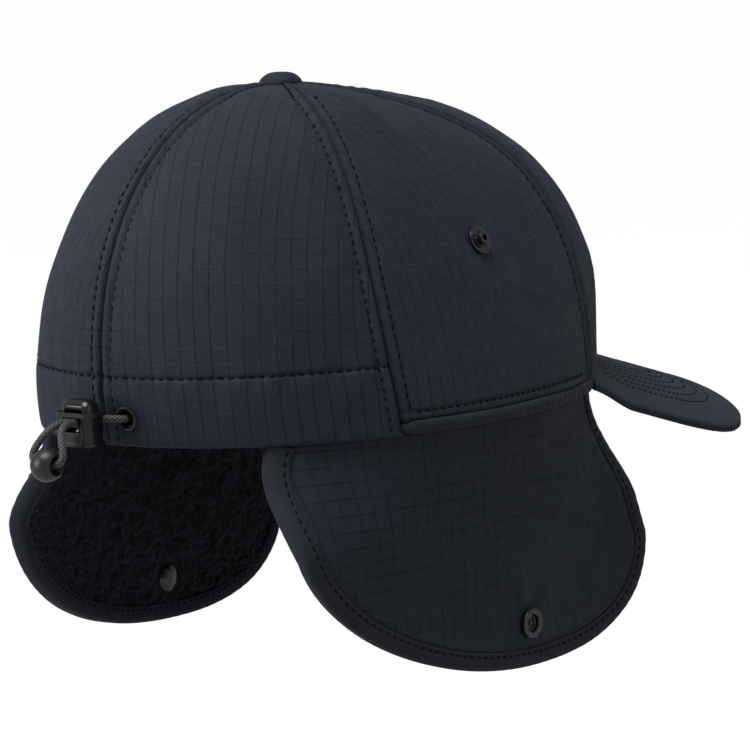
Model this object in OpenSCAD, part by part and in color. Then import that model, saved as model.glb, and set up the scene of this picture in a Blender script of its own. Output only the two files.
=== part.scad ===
// Six-panel cap with a stitched visor, a rear drawcord and two fold-up ear flaps.
// Front is -Y, the wearer's right is -X, and the rim lies in the plane z = 0.

/* [Crown] */
// Length of the head opening, front to back, over the shell
rim_length = 210; // [175:1:252]
// Width of the head opening over the shell
rim_width = 160; // [140:1:192]
// Height of the crown above the rim
crown_h = 105; // [90:1:126]
// How far the top button sits behind the middle of the opening
crown_lean = 17; // [8:1:22]

/* [Fabric] */
// Thickness of the shell fabric of the crown
shell_t = 1.2; // [0.8:0.1:1.5]
// Thickness of the crown lining
lining_t = 1; // [0.6:0.1:1.4]
// Thickness of the sweatband
band_t = 1.2; // [0.8:0.1:1.6]
// Height of the sweatband
band_h = 34; // [28:1:40]
// Clearance between neighbouring layers
layer_gap = 0.3; // [0.2:0.05:0.4]
// Height of the rolled hem under the side panels
hem_h = 3.8; // [3:0.1:4.6]

/* [Visor] */
// Length of the visor in front of the crown
visor_len = 72; // [60:1:86]
// Half of the visor's width
visor_half = 80; // [70:0.5:80]
// Slope of the visor down towards its front edge, in degrees
visor_droop = 13; // [8:1:18]
// Rise of the rim at the middle of the visor
visor_rise = 6.6; // [3:0.1:10]
// Thickness of the stiff board inside the visor
board_t = 1.6; // [1.2:0.1:2]

/* [Ear flaps] */
// Drop of the ear flaps below the rim
flap_len = 81; // [68:1:97]
// Thickness of the flap's outer shell
flap_shell_t = 0.8; // [0.6:0.1:1]
// Thickness of the flap's wadding
flap_pad_t = 1.2; // [0.8:0.1:1.6]
// Thickness of the flap's fleece lining
fleece_t = 2.2; // [1.6:0.1:2.6]
// Width of the binding round the flap
binding_w = 4.2; // [3.5:0.1:5]
// Angle through which a flap folds up until its snap meets the crown's stud
fold_max = 196.5; // [195:0.5:198]

/* [Snaps] */
// Radius of the snaps' flanges
snap_r = 4.5; // [4:0.1:5.4]
// Radius of the snap's stem through the fabric
stem_r = 1.1; // [0.9:0.05:1.3]
// Radius of the post on the crown stud
post_r = 2.5; // [2.2:0.05:2.6]
// Height of the post above its flange
post_h = 1.9; // [1.5:0.1:2]

/* [Drawcord] */
// Diameter of the elastic cord
cord_d = 2.3; // [2:0.1:2.4]
// Diameter of the bead on the cord
bead_d = 10.3; // [9:0.1:12]
// Height of the tunnel that holds the cord at the back
casing_h = 21; // [18:1:24]
// Width of the cord lock's barrel
lock_w = 12.4; // [11.5:0.1:13.5]
// Depth of the cord lock's barrel
lock_d = 9; // [8.4:0.1:9.4]
// Travel of the cord lock's button
press = 2; // [1.6:0.1:2.2]

/* [Hidden] */
$fn = 48;

navy = [0.09, 0.11, 0.16];
fleece_black = [0.03, 0.03, 0.04];
metal_black = [0.07, 0.07, 0.08];

half_len = rim_length / 2;
half_wid = rim_width / 2;

// Fullness of the crown's profile at the back, the sides and the front
full_back = [0.04, 0];
full_side = [-0.04, -0.03];
full_front = [0.17, 0.09];
// Seams between back and side panels, and between side and front panels:
// angle at the rim, then how far the seam bows and sways on its way up
rear_seam = [62, 1.5, -1];
front_seam = [121, 17.5, -2.5];
visor_end = 124;
top_s = 0.96;
seam_gap = 0.3;

// --- surface of the crown -------------------------------------------------
function smooth(x) = let (k = min(1, max(0, x))) k * k * (3 - 2 * k);
function mix(p, q, k) = p + (q - p) * k;
function unit(v) = v / norm(v);

function seam_at(seam, s) = seam[0] + seam[1] * sin(180 * s) + seam[2] * sin(360 * s);

visor_slope = tan(visor_droop);
visor_curl = (visor_rise + half_len * (1 + cos(visor_end)) * visor_slope)
    / pow(half_wid * sin(visor_end), 2);
// Underside of the visor, which is an arch tilted down to the front
function visor_z(x, y) = visor_rise - visor_curl * x * x + (y + half_len) * visor_slope;
function rim_z(t) = (t > visor_end && t < 360 - visor_end)
    ? visor_z(half_wid * sin(t), half_len * cos(t)) : 0;

function profile(t, s) =
    let (c = cos(t), back = c > 0 ? c * c : 0, front = c < 0 ? c * c : 0,
         k = full_back * back + full_side * (1 - back - front) + full_front * front,
         g = 1 + k[0] * sin(180 * s) + k[1] * sin(360 * s))
    [g * cos(90 * s), g * sin(90 * s)];
// Point of the shell's outer face: t is the angle round the head from the middle
// of the back, s runs from 0 at the rim to 1 at the button
function crown_skin(t, s) =
    let (p = profile(t, s), low = rim_z(t))
    [-half_wid * sin(t) * (1 + 0.01 * cos(t)) * p[0],
     half_len * cos(t) * p[0] + crown_lean * p[1],
     low + (crown_h - low) * p[1]];
function crown_normal(t, s) =
    let (lo = min(max(s, 0.01), 0.95))
    unit(cross(crown_skin(t + 0.5, lo) - crown_skin(t - 0.5, lo),
               crown_skin(t, lo + 0.01) - crown_skin(t, lo - 0.01)));
function crown_at(t, s, depth) = crown_skin(t, s) - depth * crown_normal(t, s);
// The value of s where the shell is h above the rim plane
function s_for(t, h, lo = 0, hi = 1, n = 18) =
    n == 0 ? (lo + hi) / 2
    : let (mid = (lo + hi) / 2)
      crown_skin(t, mid)[2] < h ? s_for(t, h, mid, hi, n - 1) : s_for(t, h, lo, mid, n - 1);

// --- depth of each layer under the shell's face ----------------------------
stiffener_t = 0.8;
stiffener_in = shell_t + 2 * layer_gap;
lining_in = stiffener_in + stiffener_t + 0.8;
facing_t = 0.5;
cord_in = shell_t + 0.35 + cord_d / 2;
facing_in = cord_in + cord_d / 2 + 0.5;
band_in = facing_in + facing_t + 2 * layer_gap;

// --- solids from grids of points --------------------------------------------
// Closed sheet between an outer and an inner grid, open or joined into a ring
module sheet(outer, inner, ring = false) {
    rows = len(outer);
    cols = len(outer[0]);
    last = ring ? rows - 1 : rows - 2;
    under = rows * cols;
    function at(i, j) = (i % rows) * cols + j;
    rim = concat(
        [for (i = [0 : last]) [at(i, 0), at(i + 1, 0)]],
        ring ? [] : [for (j = [0 : cols - 2]) [at(rows - 1, j), at(rows - 1, j + 1)]],
        [for (i = [0 : last]) [at(i + 1, cols - 1), at(i, cols - 1)]],
        ring ? [] : [for (j = [0 : cols - 2]) [at(0, j + 1), at(0, j)]]);
    faces = concat(
        [for (i = [0 : last], j = [0 : cols - 2])
            let (a = at(i, j), b = at(i, j + 1), c = at(i + 1, j + 1), d = at(i + 1, j))
            each [[a, b, c], [a, c, d],
                  [a + under, c + under, b + under], [a + under, d + under, c + under]]],
        [for (e = rim) each [[e[0], e[1], e[1] + under], [e[0], e[1] + under, e[0] + under]]]);
    polyhedron([for (r = outer) each r, for (r = inner) each r], faces);
}

// Tube along a path. Its section is a list of [across, up] offsets
function path_dir(path, i) =
    unit(path[min(i + 1, len(path) - 1)] - path[max(i - 1, 0)]);
module sweep(path, section, up = [0, 0, 1]) {
    n = len(section);
    rings = [for (i = [0 : len(path) - 1])
        let (d = path_dir(path, i), side = unit(cross(d, up)), top = cross(side, d))
        for (q = section) path[i] + side * q[0] + top * q[1]];
    walls = [for (i = [0 : len(path) - 2], k = [0 : n - 1])
        let (a = i * n + k, b = i * n + (k + 1) % n)
        each [[a, a + n, b], [b, a + n, b + n]]];
    ends = [[for (k = [0 : n - 1]) k], [for (k = [n - 1 : -1 : 0]) (len(path) - 1) * n + k]];
    polyhedron(rings, concat(walls, ends));
}
function ring_of(r, n = 8) = [for (k = [0 : n - 1]) r * [cos(360 * k / n), sin(360 * k / n)]];

// Smooth curve through points chosen by hand
function spline_point(p, i, k) =
    let (a = p[max(i - 1, 0)], b = p[i], c = p[i + 1], d = p[min(i + 2, len(p) - 1)])
    0.5 * (2 * b + (c - a) * k + (2 * a - 5 * b + 4 * c - d) * k * k
        + (3 * b - a - 3 * c + d) * k * k * k);
function spline(p, steps) = concat(
    [for (i = [0 : len(p) - 2], k = [0 : steps - 1]) spline_point(p, i, k / steps)],
    [p[len(p) - 1]]);

module on_left(left) {
    if (left) mirror([1, 0, 0]) children();
    else children();
}

// Puts a piece on the crown, with its +Z along the shell's outward normal
module at_crown(t, s, depth = 0) {
    n = crown_normal(t, s);
    translate(crown_at(t, s, depth)) rotate([0, acos(n[2]), atan2(n[1], n[0])]) children();
}

// --- crown ------------------------------------------------------------------
snap_t = 97.8;
snap_s = 0.372;
eyelet_x = 8;
eyelet_z = 9.2;
eyelet_hole = 2.5;
eyelet_turn = asin(eyelet_x / half_wid);
eyelet_s = s_for(eyelet_turn, eyelet_z);

function panel_inset(s) = seam_gap / 2 / (half_wid * max(0.05, cos(90 * s))) * 180 / PI;
function panel_grid(from, to, low, depth, across, up) =
    [for (i = [0 : across])
        [for (j = [0 : up])
            let (s = mix(low, top_s, j / up),
                 a = seam_at(from, s) + panel_inset(s), b = seam_at(to, s) - panel_inset(s))
            crown_at(mix(a, b, i / across), s, depth)]];
module panel(from, to, low = 0, across = 8, up = 13) {
    sheet(panel_grid(from, to, low, 0, across, up), panel_grid(from, to, low, shell_t, across, up));
}
back_middle = [0, 0, 0];
front_middle = [180, 0, 0];
side_low = s_for(90, hem_h + layer_gap);

module front_panel() { color(navy) panel(front_seam, front_middle); }
module side_panel() {
    color(navy) difference() {
        panel(rear_seam, front_seam, side_low);
        at_crown(snap_t, snap_s) cylinder(h = 4 * shell_t, r = stem_r + 0.15, center = true);
    }
}
module back_panel() {
    color(navy) difference() {
        panel(back_middle, rear_seam);
        at_crown(eyelet_turn, eyelet_s)
            cylinder(h = 5 * shell_t, r = eyelet_hole + 0.15, center = true);
    }
}

module crown_lining() {
    around = 40;
    low = 0.15;
    rows = [for (i = [0 : around - 1]) i * 360 / around];
    color(fleece_black) sheet(
        [for (t = rows) [for (j = [0 : 9]) crown_at(t, mix(low, top_s, j / 9), lining_in)]],
        [for (t = rows) [for (j = [0 : 9])
            crown_at(t, mix(low, top_s, j / 9), lining_in + lining_t)]], true);
}
module front_stiffener() {
    grid_of = function (d) [for (i = [0 : 12])
        [for (j = [0 : 7])
            let (s = mix(0.07, 0.7, j / 7), a = seam_at(front_seam, s) + 2)
            crown_at(mix(a, 360 - a, i / 12), s, d)]];
    color("white") sheet(grid_of(stiffener_in), grid_of(stiffener_in + stiffener_t));
}
// The band starts at the hem and leans in to clear the cord tunnel
function band_depth(h) = mix(shell_t + 0.4, band_in, smooth(h / 8));
module sweatband() {
    around = 48;
    heights = [0.8, 3, 5.5, 8, 16, 25, band_h];
    grid_of = function (extra) [for (i = [0 : around - 1])
        let (t = i * 360 / around)
        [for (h = heights) crown_at(t, s_for(t, rim_z(t) + h), band_depth(h) + extra)]];
    color(fleece_black) sheet(grid_of(0), grid_of(band_t), true);
}
module casing_facing() {
    around = 28;
    reach = rear_seam[0] - 1;
    low = 2.5;
    grid_of = function (extra) [for (i = [0 : around])
        let (t = mix(-reach, reach, i / around))
        [for (j = [0 : 6])
            let (h = mix(low, casing_h, j / 6), depth = mix(shell_t + 0.45, facing_in, sin(180 * j / 6)))
            crown_at(t, s_for(t, h), depth + extra)]];
    color(navy) sheet(grid_of(0), grid_of(facing_t));
}
module side_hem() {
    section = [for (k = [0 : 9]) [1.3 * cos(36 * k), hem_h / 2 * sin(36 * k)]];
    color(navy) sweep([for (i = [0 : 22])
        let (t = mix(rear_seam[0] + 0.4, front_seam[0] - 0.4, i / 22))
        crown_skin(t, 0) + [0, 0, hem_h / 2] - (shell_t / 2 - 0.1) * crown_normal(t, 0.01)], section);
}

module top_button() {
    color(navy) translate([0, crown_lean, crown_h + 0.4]) rotate_extrude() intersection() {
        translate([0, -7.2]) circle(r = 10.2, $fn = 96);
        square([6.8, 4]);
    }
}
module button_rivet() {
    foot = crown_h - lining_in - lining_t - 1.4;
    color(metal_black) translate([0, crown_lean, foot]) {
        cylinder(h = 0.8, r = 6);
        cylinder(h = crown_h + 0.4 - foot, r = 1.2);
    }
}

// --- visor --------------------------------------------------------------------
cover_t = 0.6;
cover_gap = 0.2;
visor_stack = 2 * cover_t + 2 * cover_gap + board_t;
// Outer edge of the visor, for u from -1 at one end to 1 at the other
function visor_edge(u, inset) =
    let (q = 90 * u, reach = visor_len + half_len * (1 + cos(visor_end)) - inset,
         pull = 1 - smooth((abs(u) - 0.84) / 0.16) * (1 - (half_wid * sin(visor_end) + 1) / visor_half),
         side = u < 0 ? -1 : 1)
    [side * (visor_half - inset) * pow(abs(sin(q)), 0.55) * pull,
     half_len * cos(visor_end) - reach * pow(max(0, cos(q)), 0.9)];
// Its inner edge follows the crown's skin at the height that a layer reaches
function visor_root(u, inset, reach) =
    let (t = 180 + u * (180 - visor_end), s = reach / (crown_h * PI / 2),
         n = crown_normal(t, s), p = crown_skin(t, s) + (0.4 + inset / 2) * unit([n[0], n[1], 0]))
    [p[0], p[1]];
function visor_point(u, v, inset, reach, lift) =
    let (p = mix(visor_root(u, inset, reach), visor_edge(u, inset), v))
    [p[0], p[1], visor_z(p[0], p[1]) + lift];
module visor_layer(inset, low, thick, across = 24, out = 5) {
    grid_of = function (lift) [for (i = [0 : across])
        [for (j = [0 : out])
            visor_point(mix(-1, 1, i / across) * (1 - inset / 60), j / out, inset, low + thick, lift)]];
    sheet(grid_of(low), grid_of(low + thick));
}
module visor_board() { color("white") visor_layer(2, cover_t + cover_gap, board_t); }
module visor_top_cover() { color(navy) visor_layer(0, visor_stack - cover_t, cover_t); }
module visor_under_cover() { color(navy) visor_layer(0, 0, cover_t); }

// --- snaps ----------------------------------------------------------------------
stud_lift = 0.35;
module crown_stud() {
    flange = 0.9;
    color(metal_black) at_crown(snap_t, snap_s, -stud_lift) {
        rotate_extrude() polygon([[0, 0], [snap_r - 0.3, 0], [snap_r, 0.3], [snap_r, flange],
            [snap_r - 0.5, flange + 0.15], [snap_r - 1, flange - 0.3], [post_r, flange - 0.3],
            [post_r, flange + post_h], [post_r - 0.5, flange + post_h], [post_r - 0.5, 0.6], [0, 0.6]]);
        translate([0, 0, -shell_t - stud_lift - 0.4])
            cylinder(h = shell_t + stud_lift + 0.5, r = stem_r);
    }
}
module stud_washer() {
    color(metal_black) at_crown(snap_t, snap_s, shell_t + 0.35 + 0.6) difference() {
        cylinder(h = 0.6, r = snap_r - 0.4);
        translate([0, 0, -1]) cylinder(h = 3, r = stem_r + 0.05);
    }
}

// --- drawcord -------------------------------------------------------------------
module cord_eyelet() {
    color(metal_black) at_crown(eyelet_turn, eyelet_s) rotate_extrude()
        polygon([[eyelet_hole, -shell_t - 0.1], [eyelet_hole + 0.1, -shell_t - 0.1],
            [eyelet_hole + 0.1, 0.15], [3.7, 0.2], [3.7, 0.45], [3.3, 0.75], [2.9, 0.75],
            [eyelet_hole, 0.45]]);
}
lock_y = 117.6;
lock_z = 9.7;
strand_x = 1.35;
// Free cord from the right eyelet through the lock to the middle of the bead
half_route = [
    [-8.1, 106.1, 9.2], [-7.3, 107.5, 9.2], [-6.2, 108.9, 9.3], [-4.9, 110.1, 9.4], [-3.5, 111.2, 9.5],
    [-2.3, 112.4, 9.6], [-1.6, 113.8, 9.7], [-1.35, 115.4, 9.7], [-1.35, 117.2, 9.7], [-1.35, 119.2, 9.7],
    [-1.35, 121.2, 9.7], [-1.35, 123.2, 9.7], [-1.4, 125.4, 9.6], [-1.9, 127.8, 8.9],
    [-2.9, 129.9, 7.4], [-4.3, 131.4, 5.2], [-5.6, 132.4, 2.9], [-6.1, 133.1, 0.8],
    [-5.2, 133.5, -0.8], [-3.3, 133.6, -1.6], [0, 133.7, -2]
];
bead_at = [0, 133.6, -1.8];
function mirrored(p) = [for (i = [len(p) - 2 : -1 : 0]) [-p[i][0], p[i][1], p[i][2]]];
route = concat(half_route, mirrored(half_route));
module drawcord_loop() {
    color(metal_black) sweep(spline(route, 2), ring_of(cord_d / 2), [0.0, 0.3, 1]);
}
// Stretch of the cord that is held in the tunnel, from the anchor to the eyelet
anchor_t = rear_seam[0] - 5;
run_end = [[-10.7, 103.2, 9.5], [-8.9, 104.6, 9.3], half_route[0]];
module casing_cord() {
    run = [for (i = [0 : 16]) let (t = mix(anchor_t - 1.5, 11, i / 16))
        crown_at(t, s_for(t, eyelet_z), cord_in)];
    color(metal_black) sweep(concat(run, spline(run_end, 2)), ring_of(cord_d / 2));
}
module cord_anchor() {
    color(navy) at_crown(anchor_t, s_for(anchor_t, eyelet_z), cord_in)
        cube([4.4, 3.6, 1.2], center = true);
}
module cord_bead() {
    bore = cord_d / 2 + 0.5;
    mouth = bore + 1.6;
    half = bead_d / 2 - 0.9;
    color(metal_black) translate(bead_at) rotate([0, 90, 0]) rotate_extrude() difference() {
        intersection() {
            circle(r = bead_d / 2, $fn = 96);
            translate([0, -bead_d]) square([bead_d, 2 * bead_d]);
        }
        polygon([[-1, -bead_d], [mouth + 0.6, -bead_d], [mouth, -half], [bore, -1], [bore, 1],
            [mouth, half], [mouth + 0.6, bead_d], [-1, bead_d]]);
    }
}

// --- cord lock ---------------------------------------------------------------------
cord_room = 0.15;
window_w = 7.2;
window_h = press + cord_d + 2 * cord_room;
window_low = lock_z - cord_d / 2 - cord_room - press;
barrel_low = window_low - 4.3;
barrel_top = window_low + window_h + 1.5;
plunger_w = lock_w - 2.4;
plunger_d = lock_d - 2.8;
slide_gap = 0.15;
floor_t = 1;
plunger_low = window_low + press - 1.3;

// Block with round ends, long along X
module oblong(w, d, h) {
    for (side = [-1, 1]) translate([side * (w - d) / 2, 0, 0]) cylinder(h = h, r = d / 2);
    translate([-(w - d) / 2, -d / 2, 0]) cube([w - d, d, h]);
}
module lock_barrel() {
    color(metal_black) translate([0, lock_y, 0]) difference() {
        union() {
            translate([0, 0, barrel_low]) oblong(lock_w, lock_d, barrel_top - barrel_low);
            translate([0, 0, barrel_top - 1.3]) oblong(lock_w + 2, lock_d + 1.2, 1.3);
            translate([0, 0, barrel_low]) oblong(lock_w + 1, lock_d + 0.6, 1.2);
        }
        translate([0, 0, barrel_low + floor_t])
            oblong(plunger_w + 2 * slide_gap, plunger_d + 2 * slide_gap, barrel_top);
        translate([-window_w / 2, -lock_d, window_low]) cube([window_w, 2 * lock_d, window_h]);
    }
}
module lock_plunger() {
    color(metal_black) translate([0, lock_y, 0]) difference() {
        translate([0, 0, plunger_low]) oblong(plunger_w, plunger_d, barrel_top + 3.9 - plunger_low);
        translate([-window_w / 2, -lock_d, window_low + press])
            cube([window_w, 2 * lock_d, window_h]);
    }
}
module lock_spring() {
    wire = 0.5;
    turns = 3.5;
    low = barrel_low + floor_t + wire / 2 + 0.02;
    high = plunger_low - wire / 2 - 0.02;
    steps = 12;
    coil = [for (i = [0 : turns * steps])
        [1.9 * cos(360 * i / steps), lock_y + 1.9 * sin(360 * i / steps),
         mix(low, high, i / (turns * steps))]];
    color("silver") sweep(coil, ring_of(wire / 2, 6));
}

// --- ear flaps -----------------------------------------------------------------------
flap_top = -0.6;
flap_mid = -10;
flap_rear = half_len - 15 - flap_mid;
flap_front = half_len - 37.5 + flap_mid;
rear_level = -0.31 * flap_len;
front_level = -0.58 * flap_len;
flap_x = half_wid - 1.5;
hinge_x = half_wid + 1.5;
hinge_z = -4;

// Rear and front edges of the flap at height z, set in by an inset
function flap_back(z, inset) =
    let (k = (z - rear_level) / (flap_len + rear_level - inset))
    flap_mid + (flap_rear - inset) * sqrt(max(0, 1 - k * k));
function flap_fore(z, inset) =
    z > front_level
    ? flap_mid - flap_front + inset + 12 * sin(90 * (z - front_level) / -front_level)
    : let (k = (front_level - z) / (flap_len + front_level - inset))
      flap_mid - (flap_front - inset) * pow(max(0, 1 - pow(k, 2.4)), 1 / 2.4);
// The flap starts along the rim's curve and hangs straighter lower down
function flap_skin(y, z) =
    let (at_rim = flap_x * sqrt(max(0.05, 1 - pow(y / (half_len - 1.5), 2))),
         rear = max(0, y - flap_mid) / 70, front = max(0, flap_mid - y) / 55,
         hang = flap_x - 9 * rear * rear + 1.5 * front * front)
    [-mix(at_rim, hang, smooth(-z / 35)), y, z];
function flap_normal(y, z) =
    unit(cross(flap_skin(y, z + 0.5) - flap_skin(y, z - 0.5),
               flap_skin(y + 0.5, z) - flap_skin(y - 0.5, z)));
function flap_at(y, z, depth) = flap_skin(y, z) - depth * flap_normal(y, z);
// Top edge, lower towards its ends so that the flap can swing in a little
function flap_start(y) = flap_top - 0.09 * (flap_x - min(flap_x, -flap_skin(y, 0)[0]));
module flap_layer(inset, depth, thick, across = 14, down = 10) {
    low = -flap_len + inset + 0.5;
    grid_of = function (d) [for (j = [0 : down])
        let (z = mix(flap_top, low, sin(90 * j / down)), a = flap_fore(z, inset), b = flap_back(z, inset))
        [for (i = [0 : across])
            let (y = mix(a, b, i / across), drop = (flap_start(y) - flap_top) * (1 - smooth(j / 4)))
            flap_at(y, z + drop, d)]];
    sheet(grid_of(depth), grid_of(depth + thick));
}
edge_inset = binding_w + layer_gap;
pad_in = flap_shell_t + layer_gap;
fleece_in = pad_in + flap_pad_t + layer_gap;
flap_t = fleece_in + fleece_t;

// The snap sits where it meets the crown stud once the flap is folded up
stud_point = crown_at(snap_t, snap_s, 0);
stud_axis = crown_normal(snap_t, snap_s);
stud_arm = [stud_point[0] + hinge_x, stud_point[2] - hinge_z];
across_stud = unit([stud_axis[2], -stud_axis[0]]);
snap_y = stud_point[1];
snap_x = flap_skin(snap_y, -flap_len / 2)[0];
snap_z = hinge_z + (stud_arm * across_stud
    - (snap_x + hinge_x) * ([cos(fold_max), -sin(fold_max)] * across_stud))
    / ([sin(fold_max), cos(fold_max)] * across_stud);
module at_snap() {
    translate([snap_x, snap_y, snap_z]) rotate([0, -90, 0]) children();
}
module snap_hole() {
    at_snap() cylinder(h = 4 * flap_t, r = stem_r + 0.15, center = true);
}
module flap_shell() {
    color(navy) difference() { flap_layer(edge_inset, 0, flap_shell_t); snap_hole(); }
}
module flap_wadding() {
    color("white") difference() { flap_layer(edge_inset, pad_in, flap_pad_t); snap_hole(); }
}
module flap_fleece() {
    color(fleece_black) difference() { flap_layer(edge_inset, fleece_in, fleece_t); snap_hole(); }
}
module flap_binding() {
    steps = 14;
    half = binding_w / 2;
    low = -flap_len + half;
    function level(j) = mix(flap_top - 3, low, sin(90 * j / steps));
    rear_side = [for (j = [0 : steps]) let (z = level(j)) flap_at(flap_back(z, half), z, flap_t / 2)];
    front_side = [for (j = [steps : -1 : 0])
        let (z = level(j)) flap_at(flap_fore(z, half), z, flap_t / 2)];
    section = [for (k = [0 : 7]) [half * cos(22.5 + 45 * k), 0.6 * flap_t * sin(22.5 + 45 * k)]];
    color(navy) sweep(concat(rear_side, front_side), section, [1, 0, 0]);
}
module flap_socket() {
    color(metal_black) at_snap() translate([0, 0, 0.25]) difference() {
        rotate_extrude() polygon([[0, 0], [snap_r - 0.2, 0], [snap_r, 0.4], [snap_r, 0.9],
            [snap_r - 0.6, 1.7], [0, 1.7]]);
        translate([0, 0, 0.5]) cylinder(h = 4, r = (post_r + 0.6) / cos(30), $fn = 6);
        translate([0, 0, -1]) cylinder(h = 3, r = stem_r + 0.05);
    }
}
module flap_cap() {
    color(metal_black) at_snap() {
        translate([0, 0, -flap_t - 0.25]) mirror([0, 0, 1]) rotate_extrude() intersection() {
            translate([0, -8.2]) circle(r = 9.6, $fn = 96);
            square([snap_r, 3]);
        }
        translate([0, 0, -flap_t - 0.5]) cylinder(h = flap_t + 1.1, r = stem_r);
    }
}

front_panel();  // front_panel_right
on_left(true) front_panel();  // front_panel_left
side_panel();  // side_panel_right
on_left(true) side_panel();  // side_panel_left
back_panel();  // back_panel_right
on_left(true) back_panel();  // back_panel_left
crown_lining();
front_stiffener();
sweatband();
casing_facing();
side_hem();  // side_hem_right
on_left(true) side_hem();  // side_hem_left
top_button();
button_rivet();
visor_board();
visor_top_cover();
visor_under_cover();
crown_stud();  // crown_stud_right
on_left(true) crown_stud();  // crown_stud_left
stud_washer();  // stud_washer_right
on_left(true) stud_washer();  // stud_washer_left
cord_eyelet();  // cord_eyelet_right
on_left(true) cord_eyelet();  // cord_eyelet_left
casing_cord();  // casing_cord_right
on_left(true) casing_cord();  // casing_cord_left
cord_anchor();  // cord_anchor_right
on_left(true) cord_anchor();  // cord_anchor_left
drawcord_loop();
cord_bead();
lock_barrel();
lock_spring();
lock_plunger();
flap_shell();  // flap_shell_right
on_left(true) flap_shell();  // flap_shell_left
flap_wadding();  // flap_wadding_right
on_left(true) flap_wadding();  // flap_wadding_left
flap_fleece();  // flap_fleece_right
on_left(true) flap_fleece();  // flap_fleece_left
flap_binding();  // flap_binding_right
on_left(true) flap_binding();  // flap_binding_left
flap_socket();  // flap_socket_right
on_left(true) flap_socket();  // flap_socket_left
flap_cap();  // flap_cap_right
on_left(true) flap_cap();  // flap_cap_left
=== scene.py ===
from math import atan2, cos, pi, radians, sin, sqrt, tan
import bmesh
import bpy
import numpy as np
from mathutils import Matrix, Vector, noise


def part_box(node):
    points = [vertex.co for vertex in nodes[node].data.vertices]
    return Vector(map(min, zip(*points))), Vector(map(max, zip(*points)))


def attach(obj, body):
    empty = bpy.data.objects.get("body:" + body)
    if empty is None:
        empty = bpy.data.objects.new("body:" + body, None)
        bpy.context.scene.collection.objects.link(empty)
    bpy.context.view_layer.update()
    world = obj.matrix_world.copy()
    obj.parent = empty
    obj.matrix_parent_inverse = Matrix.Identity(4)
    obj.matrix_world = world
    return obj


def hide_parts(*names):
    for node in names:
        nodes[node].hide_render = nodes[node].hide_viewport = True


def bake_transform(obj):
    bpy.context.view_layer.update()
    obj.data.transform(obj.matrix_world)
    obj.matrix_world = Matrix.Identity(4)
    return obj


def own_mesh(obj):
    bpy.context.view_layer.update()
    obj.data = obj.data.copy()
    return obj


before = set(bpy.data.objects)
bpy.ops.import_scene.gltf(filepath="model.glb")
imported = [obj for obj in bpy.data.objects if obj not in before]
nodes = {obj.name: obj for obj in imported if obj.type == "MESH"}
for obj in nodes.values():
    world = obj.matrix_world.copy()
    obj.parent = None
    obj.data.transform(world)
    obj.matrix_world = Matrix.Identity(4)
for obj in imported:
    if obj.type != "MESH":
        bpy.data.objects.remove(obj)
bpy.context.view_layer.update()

tau = 2 * pi


shot = {
    "lookAt": (0, 0, 0.0309),
    "distance": 1.236,
    "turn": 38.917,          # degrees round from straight behind the cap
    "rise": 6.812,
    "roll": -1.888,
    "lens": 181.6,
    "sensor": 36,
    "clip": 0.05,
    "shiftX": 0.0716,
    "shiftY": -0.0908,
}


def makeCamera():
    turn, rise, roll = (radians(shot[k]) for k in ("turn", "rise", "roll"))
    back = Vector((-sin(turn) * cos(rise), cos(turn) * cos(rise), sin(rise)))
    right = Vector((-cos(turn), -sin(turn), 0))
    up = back.cross(right)
    tiltedRight = cos(roll) * right + sin(roll) * up
    tiltedUp = cos(roll) * up - sin(roll) * right
    cam = bpy.data.objects.new("mainCamera", bpy.data.cameras.new("mainCamera"))
    bpy.context.scene.collection.objects.link(cam)
    place = Matrix((tiltedRight, tiltedUp, back)).transposed().to_4x4()
    place.translation = Vector(shot["lookAt"]) + back * shot["distance"]
    cam.matrix_world = place
    cam.data.lens = shot["lens"]
    cam.data.sensor_width = shot["sensor"]
    cam.data.shift_x = shot["shiftX"]
    cam.data.shift_y = shot["shiftY"]
    cam.data.clip_start = shot["clip"]
    bpy.context.scene.camera = cam


def softLamp(name, place, size, power):
    data = bpy.data.lights.new(name, "AREA")
    data.shape = "DISK"
    data.size = size
    data.energy = power
    lamp = bpy.data.objects.new(name, data)
    bpy.context.scene.collection.objects.link(lamp)
    lamp.location = place
    aim = Vector(shot["lookAt"]) - Vector(place)
    lamp.rotation_euler = aim.to_track_quat("-Z", "Y").to_euler()


studio = {
    "worldLight": 0.1,
    "backdrop": 1.03,
    "floorLevel": -0.16,
    "floorGlow": 1.22,
    "floorSize": 14,
    "floorWhite": 0.8,
    "seenInGloss": 0.3,
    "floorColour": (0.45, 0.45, 0.45, 1),
    "lamps": [
        ("overheadBox", (0.0, 0.5, 1.35), 1.0, 16),
        ("leftBox", (0.75, 1.2, 0.35), 0.8, 9.5),
        ("frontFill", (-1.35, 0.1, 0.45), 0.9, 2.2),
    ],
}


def mathNode(tree, kind, *values):
    node = tree.nodes.new("ShaderNodeMath")
    node.operation = kind
    for value, socket in zip(values, node.inputs):
        if isinstance(value, (int, float)):
            socket.default_value = value
        else:
            tree.links.new(value, socket)
    return node.outputs[0]


def whiteToCamera(tree, lit, white, share=1.0):
    # the camera and clear pieces see white, and all other light is as lit
    path = tree.nodes.new("ShaderNodeLightPath").outputs
    seen = mathNode(tree, "MAXIMUM", path["Is Camera Ray"], path["Is Transmission Ray"])
    gloss = mathNode(tree, "MULTIPLY_ADD", path["Is Glossy Ray"], studio["seenInGloss"], seen)
    mix = tree.nodes.new("ShaderNodeMixShader")
    tree.links.new(mathNode(tree, "MULTIPLY", gloss, share), mix.inputs[0])
    tree.links.new(lit.outputs[0], mix.inputs[1])
    tree.links.new(white.outputs[0], mix.inputs[2])
    return mix


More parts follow.
